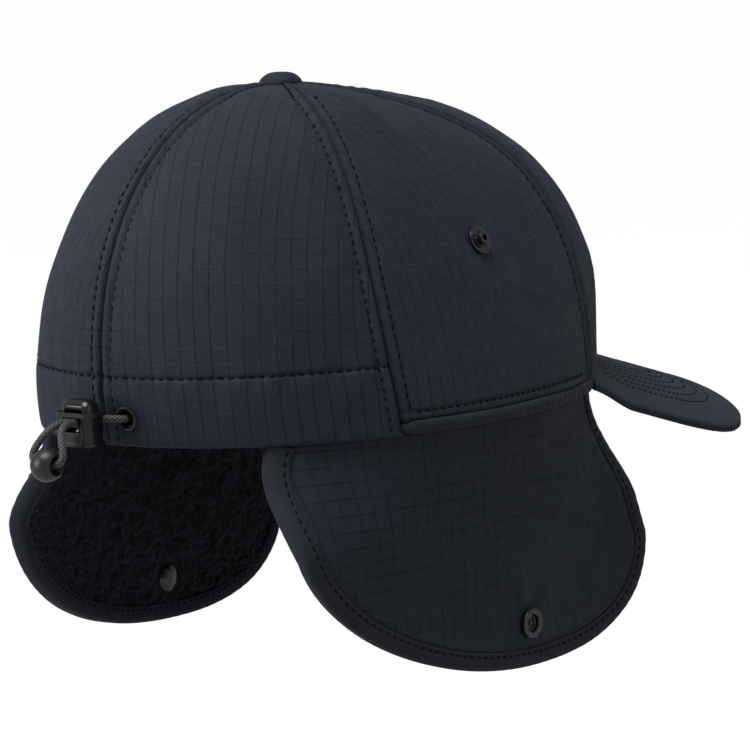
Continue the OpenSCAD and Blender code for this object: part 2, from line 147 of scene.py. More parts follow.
def makeStudio():
    world = bpy.data.worlds.new("studioWorld")
    bpy.context.scene.world = world
    world.use_nodes = True
    tree = world.node_tree
    tree.nodes.clear()
    lit = tree.nodes.new("ShaderNodeBackground")
    lit.inputs["Strength"].default_value = studio["worldLight"]
    plain = tree.nodes.new("ShaderNodeBackground")
    plain.inputs["Color"].default_value = (1, 1, 1, 1)
    plain.inputs["Strength"].default_value = studio["backdrop"]
    mix = whiteToCamera(tree, lit, plain)
    out = tree.nodes.new("ShaderNodeOutputWorld")
    tree.links.new(mix.outputs[0], out.inputs[0])

    bpy.ops.object.select_all(action="DESELECT")
    bpy.ops.mesh.primitive_plane_add(size=studio["floorSize"], location=(0, 0, studio["floorLevel"]))
    floor = bpy.context.object
    floor.name = "studioFloor"
    mat = bpy.data.materials.new("floorPaper")
    mat.use_nodes = True
    tree = mat.node_tree
    tree.nodes.clear()
    paper = tree.nodes.new("ShaderNodeBsdfDiffuse")
    paper.inputs["Color"].default_value = studio["floorColour"]
    glow = tree.nodes.new("ShaderNodeEmission")
    glow.inputs["Strength"].default_value = studio["floorGlow"]
    mix = whiteToCamera(tree, paper, glow, share=studio["floorWhite"])
    out = tree.nodes.new("ShaderNodeOutputMaterial")
    tree.links.new(mix.outputs[0], out.inputs[0])
    floor.data.materials.append(mat)
    for lamp in studio["lamps"]:
        softLamp(*lamp)
    bpy.context.scene.view_settings.view_transform = "Standard"


makeCamera()
makeStudio()
print("camera and studio made")


class Recipe:
    # a material and short ways to add nodes to it
    def __init__(self, name, colour, roughness, metallic=0.0, specular=0.5):
        self.mat = bpy.data.materials.new(name)
        self.mat.use_nodes = True
        self.tree = self.mat.node_tree
        self.shader = self.tree.nodes["Principled BSDF"]
        self.shader.inputs["Base Color"].default_value = (*colour, 1)
        self.shader.inputs["Roughness"].default_value = roughness
        self.shader.inputs["Metallic"].default_value = metallic
        self.shader.inputs["Specular IOR Level"].default_value = specular
        self.coords = self.tree.nodes.new("ShaderNodeTexCoord")

    def link(self, out, socket):
        self.tree.links.new(out, socket)

    def math(self, kind, *values):
        return mathNode(self.tree, kind, *values)

    def uv(self):
        split = self.tree.nodes.new("ShaderNodeSeparateXYZ")
        self.link(self.coords.outputs["UV"], split.inputs[0])
        return split.outputs[0], split.outputs[1]

    def noise(self, scale, detail=3.0, roughness=0.5, distortion=0.0, source="Object"):
        node = self.tree.nodes.new("ShaderNodeTexNoise")
        node.inputs["Scale"].default_value = scale
        node.inputs["Detail"].default_value = detail
        node.inputs["Roughness"].default_value = roughness
        node.inputs["Distortion"].default_value = distortion
        self.link(self.coords.outputs[source], node.inputs["Vector"])
        return node.outputs["Fac"]

    def stretch(self, value, low, high, start=0.0, end=1.0):
        node = self.tree.nodes.new("ShaderNodeMapRange")
        for socket, number in zip(node.inputs[1:5], (low, high, start, end)):
            socket.default_value = number
        self.link(value, node.inputs[0])
        return node.outputs[0]

    def mix(self, share, first, second):
        node = self.tree.nodes.new("ShaderNodeMix")
        node.data_type = "RGBA"
        self.link(share, node.inputs["Factor"])
        for value, socket in ((first, node.inputs[6]), (second, node.inputs[7])):
            if isinstance(value, tuple):
                socket.default_value = (*value, 1)
            else:
                self.link(value, socket)
        return node.outputs[2]

    def colour(self, out):
        self.link(out, self.shader.inputs["Base Color"])

    def roughness(self, out):
        self.link(out, self.shader.inputs["Roughness"])

    def bump(self, height, strength, distance):
        node = self.tree.nodes.new("ShaderNodeBump")
        node.inputs["Strength"].default_value = strength
        node.inputs["Distance"].default_value = distance
        self.link(height, node.inputs["Height"])
        self.link(node.outputs[0], self.shader.inputs["Normal"])

    def sheen(self, weight, roughness, tint):
        self.shader.inputs["Sheen Weight"].default_value = weight
        self.shader.inputs["Sheen Roughness"].default_value = roughness
        self.shader.inputs["Sheen Tint"].default_value = (*tint, 1)


ripstop = {
    "yarn": (0.0215, 0.0262, 0.0395),
    "worn": (0.029, 0.0345, 0.05),
    "line": (0.0085, 0.0102, 0.0155),
    "paleLine": (0.045, 0.051, 0.066),
    "pitch": 0.0049,         # distance between the grid's thick yarns
    "lineWidth": 0.00042,
    "thread": 0.00042,       # one thread of the plain weave
}


def lineMask(r, along, pitch, width):
    # 1 on thin lines a pitch apart and 0 between them
    share = r.math("FRACT", r.math("DIVIDE", along, pitch))
    away = r.math("ABSOLUTE", r.math("SUBTRACT", share, 0.5))
    return r.stretch(away, 0.8 * width / pitch, 0.25 * width / pitch)


def weave(r, u, v, thread):
    over = r.math("SINE", r.math("MULTIPLY", u, tau / thread))
    under = r.math("SINE", r.math("MULTIPLY", v, tau / thread))
    return r.math("MULTIPLY", over, under)


def ripstopFabric(name, darkAcross, paleAcross, depth=1.0):
    r = Recipe(name, ripstop["yarn"], 0.7, specular=0.12)
    u, v = r.uv()
    drift = r.math("MULTIPLY", r.math("SUBTRACT", r.noise(38, 2), 0.5), 0.0011)
    uSoft = r.math("ADD", u, drift)
    vSoft = r.math("ADD", v, drift)
    upright = lineMask(r, uSoft, ripstop["pitch"], ripstop["lineWidth"])
    level = lineMask(r, vSoft, ripstop["pitch"], ripstop["lineWidth"])
    worn = r.stretch(r.noise(22, 4, 0.6), 0.35, 0.7)
    # a depth below 1 scales all the cloth's colours down, which paints shade into a darker copy of the cloth
    yarn, paler = (tuple(c * depth for c in ripstop[k]) for k in ("yarn", "worn"))
    base = r.mix(worn, yarn, paler)
    speckle = r.stretch(r.noise(1500, 3, 0.8), 0.42, 0.66, 0.0, 0.8)
    base = r.mix(speckle, base, tuple(c * 1.35 for c in paler))
    fade = r.stretch(r.noise(55, 3), 0.3, 0.65, 0.3, 0.8)
    base = r.mix(r.math("MULTIPLY", upright, fade), base, ripstop["line"])
    patch = r.stretch(r.noise(24, 2, 0.6, 0.4), 0.4, 0.6, 0.0, 1.0)
    dashes = r.stretch(r.noise(420, 2, 0.6), 0.42, 0.6)
    dark = r.math("MULTIPLY", r.math("MULTIPLY", level, darkAcross), r.math("SUBTRACT", 1.0, patch))
    dashed = r.math("MULTIPLY", level, r.math("MULTIPLY", dashes, paleAcross))
    pale = r.math("MULTIPLY", dashed, patch)
    base = r.mix(dark, base, ripstop["line"])
    base = r.mix(pale, base, ripstop["paleLine"])
    r.colour(base)
    r.roughness(r.stretch(r.noise(300, 3), 0.3, 0.7, 0.58, 0.74))
    ribs = r.math("MAXIMUM", upright, level)
    threads = r.math("MULTIPLY", weave(r, u, v, ripstop["thread"]), 0.35)
    height = r.math("MULTIPLY_ADD", ribs, 0.9, threads)
    height = r.math("ADD", height, r.math("MULTIPLY", r.noise(900, 4, 0.7), 1.2))
    r.bump(height, 0.6, 0.00016)
    r.sheen(0.05, 0.45, (0.55, 0.62, 0.85))
    return r.mat


plainThread = 0.0004        # one thread of the plain cloths


def plainFabric(name, colour, worn, roughness=0.7):
    r = Recipe(name, colour, roughness, specular=0.12)
    u, v = r.uv()
    tone = r.stretch(r.noise(45, 4, 0.6), 0.3, 0.7)
    base = r.mix(tone, colour, worn)
    speckle = r.stretch(r.noise(1500, 3, 0.8), 0.42, 0.66, 0.0, 0.8)
    r.colour(r.mix(speckle, base, tuple(c * 1.3 for c in worn)))
    height = r.math("ADD", r.math("MULTIPLY", weave(r, u, v, plainThread), 0.4), r.noise(800, 3))
    r.bump(height, 0.45, 0.00012)
    r.sheen(0.05, 0.45, (0.6, 0.65, 0.8))
    return r.mat


def twillFabric():
    r = Recipe("sweatbandTwill", (0.016, 0.016, 0.019), 0.82, specular=0.2)
    u, v = r.uv()
    slant = r.math("ADD", u, v)
    ribs = r.math("SINE", r.math("MULTIPLY", slant, tau / 0.0011))
    tone = r.stretch(r.math("ADD", r.math("MULTIPLY", ribs, 0.15), r.noise(60, 3)), 0.2, 0.8)
    r.colour(r.mix(tone, (0.011, 0.011, 0.013), (0.025, 0.025, 0.029)))
    r.bump(r.math("ADD", ribs, r.noise(900, 2)), 0.4, 0.0001)
    r.sheen(0.15, 0.5, (0.7, 0.7, 0.75))
    return r.mat


def liningFabric():
    r = Recipe("liningSatin", (0.018, 0.019, 0.024), 0.42, specular=0.35)
    u, v = r.uv()
    threads = r.math("SINE", r.math("MULTIPLY", u, tau / 0.0005))
    tone = r.stretch(r.noise(35, 4, 0.6), 0.3, 0.7)
    r.colour(r.mix(tone, (0.013, 0.014, 0.018), (0.026, 0.028, 0.034)))
    r.roughness(r.stretch(r.noise(200, 3), 0.3, 0.7, 0.36, 0.5))
    r.bump(r.math("ADD", threads, r.math("MULTIPLY", r.noise(90, 4), 4.0)), 0.25, 0.0001)
    return r.mat


def fleecePile():
    r = Recipe("fleecePile", (0.008, 0.0078, 0.0095), 0.95, specular=0.1)
    curls = r.noise(620, 6, 0.7, 1.8)
    clumps = r.noise(240, 4, 0.6, 0.8)
    # the pile's colour follows its bump: painted highlight on the curl tops and painted shade in the hollows
    # between them
    tone = r.stretch(r.math("MULTIPLY", curls, clumps), 0.12, 0.4)
    r.colour(r.mix(tone, (0.0028, 0.0026, 0.004), (0.026, 0.0245, 0.033)))
    r.bump(r.math("ADD", curls, r.math("MULTIPLY", clumps, 1.5)), 0.8, 0.0009)
    r.sheen(0.3, 0.5, (0.6, 0.56, 0.75))
    return r.mat


def sewingThread():
    r = Recipe("sewingThread", (0.006, 0.007, 0.01), 0.75, specular=0.1)
    ply = r.noise(3000, 2, 0.5, 0.5)
    r.colour(r.mix(r.stretch(ply, 0.3, 0.7), (0.0025, 0.003, 0.0045), (0.008, 0.009, 0.013)))
    r.bump(ply, 0.3, 0.00005)
    return r.mat


def mouldedPlastic(name, colour, roughness, grain, wear=0.3):
    r = Recipe(name, colour, roughness, specular=0.5)
    smudge = r.noise(140, 4, 0.6)
    paler = tuple(min(1, c * 1.9 + 0.004) for c in colour)
    r.colour(r.mix(r.stretch(smudge, 0.35, 0.75, 0.0, wear), colour, paler))
    r.roughness(r.stretch(r.noise(260, 4, 0.65), 0.3, 0.7, roughness * 0.8, roughness * 1.3))
    r.bump(r.noise(1800, 3, 0.6), grain, 0.00004)
    return r.mat


def paintedMetal():
    r = Recipe("blackenedMetal", (0.012, 0.012, 0.013), 0.24, metallic=0.3, specular=0.9)
    scuff = r.noise(700, 5, 0.7, 0.6)
    r.colour(r.mix(r.stretch(scuff, 0.62, 0.8, 0.0, 0.5), (0.011, 0.011, 0.012), (0.09, 0.09, 0.092)))
    r.roughness(r.stretch(r.noise(320, 4), 0.3, 0.7, 0.16, 0.3))
    r.bump(r.noise(1400, 3), 0.12, 0.00004)
    return r.mat


def springSteel():
    r = Recipe("springSteel", (0.55, 0.55, 0.56), 0.28, metallic=1.0)
    r.colour(r.mix(r.stretch(r.noise(900, 3), 0.3, 0.7), (0.45, 0.45, 0.46), (0.62, 0.62, 0.63)))
    r.roughness(r.stretch(r.noise(1500, 3), 0.3, 0.7, 0.2, 0.36))
    return r.mat


braid = {"pitch": 0.0014, "strands": 6}


def braidedElastic():
    r = Recipe("braidedElastic", (0.03, 0.03, 0.032), 0.55, specular=0.4)
    u, v = r.uv()
    lengthwise = r.math("MULTIPLY", u, tau / braid["pitch"])
    around = r.math("MULTIPLY", v, tau * braid["strands"])
    one, two = (r.math("SINE", r.math(kind, lengthwise, around)) for kind in ("ADD", "SUBTRACT"))
    plait = r.math("MAXIMUM", one, two)
    # the braid's colour follows its bump: painted highlight on the strands' crowns and painted shade between
    # them
    tone = r.stretch(plait, 0.45, 1.0)
    r.colour(r.mix(tone, (0.007, 0.007, 0.008), (0.12, 0.122, 0.127)))
    r.bump(plait, 0.6, 0.00012)
    r.sheen(0.1, 0.4, (0.8, 0.8, 0.8))
    return r.mat


def feltPad():
    r = Recipe("feltPad", (0.6, 0.6, 0.58), 0.9, specular=0.2)
    r.colour(r.mix(r.stretch(r.noise(500, 5, 0.7), 0.3, 0.7), (0.5, 0.5, 0.48), (0.68, 0.68, 0.66)))
    r.bump(r.noise(900, 4), 0.5, 0.0002)
    return r.mat


shellCloth = ripstopFabric("crownRipstop", 0.35, 0.6)
# the flaps' cloth is the crown's ripstop darkened to 0.85: painted shade for the flaps that hang in the
# crown's shadow
shadedFlapCloth = ripstopFabric("flapRipstopShaded", 0.75, 0.2, 0.85)
bindingCloth = plainFabric("bindingTape", (0.017, 0.0205, 0.03), (0.026, 0.03, 0.042))
visorCloth = plainFabric("visorCover", (0.026, 0.0315, 0.047), (0.038, 0.045, 0.064), 0.76)
visorUnderCloth = plainFabric("visorUnderside", (0.014, 0.0165, 0.024), (0.021, 0.0245, 0.034))
sweatCloth = twillFabric()
liningCloth = liningFabric()
fleece = fleecePile()
thread = sewingThread()
lockPlastic = mouldedPlastic("glossBlackPlastic", (0.007, 0.007, 0.0075), 0.2, 0.1)
beadPlastic = mouldedPlastic("satinBlackPlastic", (0.012, 0.012, 0.0125), 0.36, 0.2)
boardPlastic = mouldedPlastic("visorBoard", (0.7, 0.7, 0.68), 0.55, 0.3)
snapMetal = paintedMetal()
wireSteel = springSteel()
cordCloth = braidedElastic()
felt = feltPad()
print("materials made")


def addMesh(name, verts, faces, mat, uvs=None):
    data = bpy.data.meshes.new(name)
    data.from_pydata([tuple(map(float, p)) for p in verts], [], [tuple(map(int, f)) for f in faces])
    if uvs is not None:
        layer = data.uv_layers.new(name="cloth")
        index = np.zeros(len(data.loops), dtype=np.int32)
        data.loops.foreach_get("vertex_index", index)
        layer.data.foreach_set("uv", np.asarray(uvs, dtype=np.float32)[index].ravel())
    data.polygons.foreach_set("use_smooth", [True] * len(data.polygons))
    data.materials.append(mat)
    data.validate()
    obj = bpy.data.objects.new(name, data)
    bpy.context.scene.collection.objects.link(obj)
    return obj


def editMesh(obj, change):
    bm = bmesh.new()
    bm.from_mesh(obj.data)
    change(bm)
    bm.to_mesh(obj.data)
    bm.free()


def fixNormals(obj):
    editMesh(obj, lambda bm: bmesh.ops.recalc_face_normals(bm, faces=bm.faces))


def onlyActive(obj):
    bpy.ops.object.select_all(action="DESELECT")
    obj.select_set(True)
    bpy.context.view_layer.objects.active = obj


def gridFaces(rows, cols, ringRows=False, ringCols=False):
    i, j = np.meshgrid(np.arange(rows if ringRows else rows - 1),
                       np.arange(cols if ringCols else cols - 1), indexing="ij")
    i, j = i.ravel(), j.ravel()
    iNext, jNext = (i + 1) % rows, (j + 1) % cols
    return np.stack([i * cols + j, iNext * cols + j, iNext * cols + jNext, i * cols + jNext], 1)


def sheetMesh(name, outer, inner, mat, uv, flip=False, ringRows=False):
    # closed sheet between two grids of points, joined round its open edges
    rows, cols = outer.shape[:2]
    count = rows * cols
    top = gridFaces(rows, cols, ringRows)
    under = top[:, ::-1] + count
    loops = []
    last = rows if ringRows else rows - 1
    for i in range(last):
        a, b = i * cols, ((i + 1) % rows) * cols
        loops.append((b, a, a + count, b + count))
        a, b = a + cols - 1, b + cols - 1
        loops.append((a, b, b + count, a + count))
    if not ringRows:
        for j in range(cols - 1):
            loops.append((j, j + 1, j + 1 + count, j + count))
            a = (rows - 1) * cols + j
            loops.append((a + 1, a, a + count, a + 1 + count))
    faces = np.concatenate([top, under, np.array(loops)])
    if flip:
        faces = faces[:, ::-1]
    verts = np.concatenate([outer.reshape(-1, 3), inner.reshape(-1, 3)])
    uvs = np.concatenate([uv.reshape(-1, 2), uv.reshape(-1, 2)])
    return addMesh(name, verts, faces, mat, uvs)


def smoothStep(x):
    k = np.clip(x, 0, 1)
    return k * k * (3 - 2 * k)


def hump(x, middle, width):
    return np.exp(-((x - middle) / width) ** 2)


def waves(points, scale, seed):
    # smooth bumps from -1 to 1, the same on every run
    flat = np.asarray(points).reshape(-1, 3)
    shift = Vector((seed * 3.7, seed * 1.9, -seed * 2.3))
    out = [noise.noise(Vector(p) * scale + shift) for p in flat]
    return np.array(out).reshape(np.asarray(points).shape[:-1])


def mirrorIf(points, side):
    out = np.array(points, float)
    if side < 0:
        out[..., 0] *= -1
    return out


def arcLength(points):
    steps = np.linalg.norm(np.diff(points, axis=0), axis=1)
    return np.concatenate([[0], np.cumsum(steps)])


seam = {"pitch": 0.0031, "stitch": 0.0023, "girth": 0.00031, "lift": 0.00014, "inFromSeam": 0.004,
        "sides": 6, "flatten": 1.3}
# share of the stitch's length, thickness and height above the cloth, in girths
stitchShape = [(0, 0.35, -1.3), (0.2, 0.85, -0.25), (0.5, 1.0, 0.35), (0.8, 0.85, -0.25), (1.0, 0.35, -1.3)]


def stitchRow(name, path, normals, body, pitch=None, length=None, girth=None):
    # short rounded stitches laid end to end along a path on the cloth
    pitch, length, size = pitch or seam["pitch"], length or seam["stitch"], girth or seam["girth"]
    sides = seam["sides"]
    run = arcLength(path)
    if run[-1] < pitch:
        return None
    verts, faces = [], []
    starts = np.arange(0.3 * pitch, run[-1] - length, pitch)
    at = lambda d, values: np.array([np.interp(d, run, values[:, k]) for k in range(3)])
    for first in starts:
        base = len(verts)
        middle = at(first + length / 2, path)
        along = at(first + length, path) - at(first, path)
        along /= np.linalg.norm(along) + 1e-12
        up = at(first + length / 2, normals)
        up /= np.linalg.norm(up) + 1e-12
        across = np.cross(along, up)
        for share, swell, drop in stitchShape:
            centre = at(first + share * length, path) + up * (seam["lift"] + drop * size)
            for k in range(sides):
                a = tau * k / sides
                flat = across * cos(a) * seam["flatten"]
                verts.append(centre + swell * size * (flat + up * sin(a)))
        for i in range(len(stitchShape) - 1):
            for k in range(sides):
                a, b = base + i * sides + k, base + i * sides + (k + 1) % sides
                faces.append((a, b, b + sides, a + sides))
        end = base + sides * (len(stitchShape) - 1)
        faces.append(tuple(base + k for k in range(sides - 1, -1, -1)))
        faces.append(tuple(end + k for k in range(sides)))
    obj = addMesh(name, verts, faces, thread)
    if body:
        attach(obj, body)
    return obj


crown = {
    "halfLength": 0.105, "halfWidth": 0.080, "height": 0.105, "lean": 0.017,
    "back": (0.04, 0.0), "side": (-0.04, -0.03), "front": (0.17, 0.09),
    "seams": {             # angle at the rim, then how far the seam bows and sways on its way up
        "middleBack": (0, 0, 0), "rear": (62, 1.5, -1),
        "fore": (121, 17.5, -2.5), "middleFront": (180, 0, 0),
    },
    "visorEnd": 124, "top": 0.962,
    "cloth": 0.0009,         # thickness of the shell cloth
    "foldRadius": 0.0009,    # folded edge at the rim
    "casingLine": 0.0218,    # height of the stitched line over the cord tunnel
    "hemLine": 0.0072,       # height of the stitched line over the rolled hem
    "hem": 0.0046,
}
visor = {
    "length": 0.0753, "half": 0.074, "droop": 15.6, "rise": 0.0058, "stack": 0.0032,
    "boardIn": 0.0035, "stitchGirth": 0.00021, "sideDip": 0.005, "dipWidth": 0.14, "pullFrom": 0.5,
    "sideFlat": 0.43, "foreFlat": 0.9,     # smaller numbers make the outline squarer
    "rowsIn": 0.0115, "rowGap": 0.004, "rows": 6, "edgeRound": 0.0011,
    "rowDip": 0.00026, "rowPuff": 0.00016, "swell": 0.0003, "swellScale": 22,
    "cover": 0.00055, "stitchPitch": 0.0034, "stitch": 0.0024,
    "seamTurn": 0.0008, "boardSkin": 0.0009,     # how far the top turns up at the crown; cover over the board
}


def seamAngle(which, s):
    a, b, c = crown["seams"][which]
    return a + b * np.sin(pi * s) + c * np.sin(tau * s)


visorSlope = tan(radians(visor["droop"]))
endTurn = radians(crown["visorEnd"])
visorCurl = ((visor["rise"] + crown["halfLength"] * (1 + cos(endTurn)) * visorSlope)
             / (crown["halfWidth"] * sin(endTurn)) ** 2)


def visorHeight(x, y):
    return visor["rise"] - visorCurl * x * x + (y + crown["halfLength"]) * visorSlope


def rimHeight(t):
    a = np.radians(t)
    z = visorHeight(crown["halfWidth"] * np.sin(a), crown["halfLength"] * np.cos(a))
    return np.where((t > crown["visorEnd"]) & (t < 360 - crown["visorEnd"]), z, 0.0)


def crownSkin(t, s):
    t, s = np.broadcast_arrays(np.asarray(t, float), np.asarray(s, float))
    c, n = np.cos(np.radians(t)), np.sin(np.radians(t))
    back, front = np.where(c > 0, c * c, 0), np.where(c < 0, c * c, 0)
    beside = 1 - back - front
    k0 = crown["back"][0] * back + crown["side"][0] * beside + crown["front"][0] * front
    k1 = crown["back"][1] * back + crown["side"][1] * beside + crown["front"][1] * front
    g = 1 + k0 * np.sin(pi * s) + k1 * np.sin(tau * s)
    out, up = g * np.cos(pi / 2 * s), g * np.sin(pi / 2 * s)
    low = rimHeight(t)
    return np.stack([-crown["halfWidth"] * n * (1 + 0.01 * c) * out,
                     crown["halfLength"] * c * out + crown["lean"] * up,
                     low + (crown["height"] - low) * up], -1)


def crownNormal(t, s):
    s = np.clip(s, 0.01, 0.95)
    n = np.cross(crownSkin(t + 0.5, s) - crownSkin(t - 0.5, s),
                 crownSkin(t, s + 0.01) - crownSkin(t, s - 0.01))
    return n / np.linalg.norm(n, axis=-1, keepdims=True)


def shareAt(t, h):
    # share of the way up at which the crown is h above its rim
    low, high = np.zeros_like(h * 1.0 + t * 0.0), np.ones_like(h * 1.0 + t * 0.0) * 0.9
    rim = rimHeight(t)
    for _ in range(22):
        middle = (low + high) / 2
        under = crownSkin(t, middle)[..., 2] < rim + h
        low, high = np.where(under, middle, low), np.where(under, high, middle)
    return (low + high) / 2


studPlace = np.array(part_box("crown_stud_right")).mean(0)
eyeletPlace = np.array(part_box("cord_eyelet_right")).mean(0)


# height, distance from the seam and width of the dip, the ridge and the stitched line
seamBumps = [(-0.0014, 0, 0.0006), (0.00055, 0.002, 0.0012), (-0.0005, seam["inFromSeam"], 0.00055)]
seamPuff = {"height": 0.0003, "start": 0.0045, "over": 0.006}
tugs = {"height": 0.00024, "spacing": 0.0068, "reach": 0.007, "clear": 0.0012}
# height, waves per metre, seed, and how far from a seam they reach full height
softWaves = [(0.0011, 17, 1, 0.02), (0.0005, 42, 2, 0.012)]
crease = {"height": 0.0011, "base": 0.3, "sharpness": 6, "scale": 30, "patches": 20, "ease": 0.015}
casing = {"puff": 0.0002, "gather": 0.00028, "spacing": 0.0085, "reach": 0.006, "ripple": 0.00035}


def seamRelief(d):
    bumps = sum(height * hump(d, place, width) for height, place, width in seamBumps)
    return bumps + seamPuff["height"] * smoothStep((d - seamPuff["start"]) / seamPuff["over"])


def panelRelief(points, along, dLeft, dRight, height, hasCasing, hasHem, seed):
    # how far the cloth stands out of the plain crown, in metres
    d = np.minimum(dLeft, dRight)
    out = seamRelief(d)
    near = np.exp(-d / tugs["reach"]) * (1 - np.exp(-d / tugs["clear"]))
    tug = np.sin(along * tau / tugs["spacing"] + 2.5 * waves(points, 90, seed))
    out = out + tugs["height"] * tug * near * (0.5 + waves(points, 45, seed + 5))
    for tall, scale, step, reach in softWaves:
        out = out + tall * waves(points, scale, seed + step) * smoothStep(d / reach)
    upright = points * np.array([1, 1, 0.22])          # long folds up the panel
    out = out + 0.0005 * waves(upright, 70, seed + 3) * smoothStep(d / 0.01)
    leaning = points @ np.array([[1, 0, 0.5], [0, 1, -0.4], [0.3, 0.2, 0.35]])
    ridges = (1 - np.abs(waves(leaning, crease["scale"], seed + 8))) ** crease["sharpness"]
    patches = smoothStep(waves(points, crease["patches"], seed + 9) * 3)
    out = out + crease["height"] * (ridges - crease["base"]) * patches * smoothStep(d / crease["ease"])
    if hasHem:
        out = out - 0.0004 * hump(height, crown["hemLine"], 0.0006)
    if hasCasing:
        line = crown["casingLine"]
        out = out - 0.0005 * hump(height, line, 0.0007)
        below = smoothStep((line - height) / 0.003) * smoothStep(height / 0.004)
        out = out + casing["puff"] * below
        gather = np.sin(points[..., 0] * tau / casing["spacing"] + 3 * waves(points, 50, seed + 4))
        out = out + casing["gather"] * gather * np.exp(-np.abs(height - line) / casing["reach"])
        out = out + casing["ripple"] * waves(points, 75, seed + 6) * smoothStep((line - height) / 0.004)
    folded = mirrorIf(points, -1) if seed % 2 else points
    for place, reach in ((studPlace, 0.009), (eyeletPlace, 0.007)):
        close = np.exp(-(np.linalg.norm(folded - place, axis=-1) / reach) ** 2)
        out = out * (1 - close) - 0.0002 * close
    return out


# distances of a panel's outer columns of points from its seam, in millimetres
edgeSteps = np.array([0.12, 0.4, 0.8, 1.3, 1.9, 2.5, 3.1, 3.6, 4.0, 4.4, 5.0, 6.0, 7.5]) / 1000
lineSteps = np.array([-22, -15, -10, -6, -3, 0, 3, 6, 10, 15, 22]) * 1e-4
panelDetail = {"across": 52, "up": 104}
narrowPanel = 0.03           # where a panel is narrower, its seams' reliefs narrow with it


def panelGrid(leftSeam, rightSeam, hasHem, stitchedLines):
    fold = crown["foldRadius"]
    rows = []
    if hasHem:
        rows += [(0.0016, 0.0016), (0.003, 0.0014), (0.0042, 0.0009), (0.0047, 0.0004)]
        first = 0.0049
    else:
        rows += [(0.006, 2 * fold), (0.003, 2 * fold)]
        rows += [(fold - fold * sin(a), fold - fold * cos(a)) for a in np.linspace(pi, 0, 9)]
        first = fold * 1.8
    middle = seamAngle(leftSeam, 0.0) / 2 + seamAngle(rightSeam, 0.0) / 2
    share = [float(shareAt(np.array(middle), np.array(h))) for h, _ in rows]
    depth = [d for _, d in rows]
    start = float(shareAt(np.array(middle), np.array(first)))
    main = np.linspace(start, crown["top"], panelDetail["up"])
    for line in stitchedLines:
        close = shareAt(np.array(middle), line + lineSteps)
        main = np.concatenate([main[(main < close[0] - 0.002) | (main > close[-1] + 0.002)], close])
    main = np.sort(main)
    s = np.concatenate([share, main])
    depth = np.concatenate([depth, np.zeros(len(main))])
    columns = []
    for row in s:
        a, b = seamAngle(leftSeam, row), seamAngle(rightSeam, row)
        ends = crownSkin(np.linspace(a, b, 25), row)
        width = arcLength(ends)[-1]
        shrink = min(1.0, width / narrowPanel)
        edge = edgeSteps * shrink
        inner = np.linspace(edge[-1], width - edge[-1], panelDetail["across"])[1:-1]
        d = np.concatenate([edge, inner, width - edge[::-1]])
        columns.append(np.stack([a + (b - a) * d / width, d / shrink, (width - d) / shrink,
                                 d - width / 2], -1))
    return s, depth, np.array(columns)


def placePanel(name, node, leftSeam, rightSeam, side, seed, hasCasing=False, hasHem=False):
    lines = ([crown["casingLine"]] if hasCasing else []) + ([crown["hemLine"]] if hasHem else [])
    s, depth, grid = panelGrid(leftSeam, rightSeam, hasHem, lines)
    share = s[:, None] + 0 * grid[..., 0]
    t = grid[..., 0]
    skin, normal = crownSkin(t, share), crownNormal(t, share)
    middle = skin.shape[1] // 2
    along = arcLength(skin[:, middle])[:, None] + 0 * t
    height = skin[..., 2] - rimHeight(t)
    relief = panelRelief(mirrorIf(skin, side), along, grid[..., 1], grid[..., 2], height,
                         hasCasing, hasHem, seed)
    lift = relief * smoothStep((height + 0.0005) / 0.003) - depth[:, None]
    outer = skin + normal * lift[..., None]
    inner = outer - normal * crown["cloth"] * np.where(depth[:, None] > 0.001, -0.4, 1)[..., None]
    uv = np.stack([grid[..., 3], along], -1)
    obj = sheetMesh(name, mirrorIf(outer, side), mirrorIf(inner, side), shellCloth, uv, flip=side > 0)
    if leftSeam == "middleBack":
        openEyelet(obj, side)
    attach(obj, "crown")
    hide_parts(node)
    return obj


hole = {"cut": 0.0021, "clear": 0.003}     # radii of the opening under an eyelet


def openEyelet(obj, side):
    # opens the cloth where the cord comes out, under the eyelet's flange
    place = Vector(mirrorIf(eyeletPlace, side))

    def change(bm):
        cut = [v for v in bm.verts if (v.co - place).length < hole["cut"]]
        bmesh.ops.delete(bm, geom=cut, context="VERTS")
        for v in bm.verts:
            away = v.co - place
            if away.length < hole["clear"]:
                v.co = place + away * (hole["clear"] / away.length)

    editMesh(obj, change)


def clothPoints(t, s, plan, side, seed):
    # points and normals on the displaced cloth of one panel
    leftSeam, rightSeam, hasCasing, hasHem = plan[2:]
    shares = np.linspace(0, 1, 120)
    middle = 0.5 * (seamAngle(leftSeam, shares) + seamAngle(rightSeam, shares))
    up = arcLength(crownSkin(middle, shares))
    a, b = seamAngle(leftSeam, s), seamAngle(rightSeam, s)
    cuts = np.linspace(0, 1, 25)
    rows = crownSkin(a[:, None] + (b - a)[:, None] * cuts, s[:, None] + 0 * cuts)
    steps = np.linalg.norm(np.diff(rows, axis=1), axis=2)
    run = np.concatenate([np.zeros((len(s), 1)), np.cumsum(steps, axis=1)], 1)
    at = np.array([np.interp((x - p) / (q - p), cuts, r) for x, p, q, r in zip(t, a, b, run)])
    width = run[:, -1]
    shrink = np.minimum(1, width / narrowPanel)
    skin, normal = crownSkin(t, s), crownNormal(t, s)
    height = skin[:, 2] - rimHeight(t)
    relief = panelRelief(mirrorIf(skin, side), np.interp(s, shares, up), at / shrink,
                         (width - at) / shrink, height, hasCasing, hasHem, seed)
    relief = relief * smoothStep((height + 0.0005) / 0.003)
    return mirrorIf(skin + normal * relief[:, None], side), mirrorIf(normal, side)


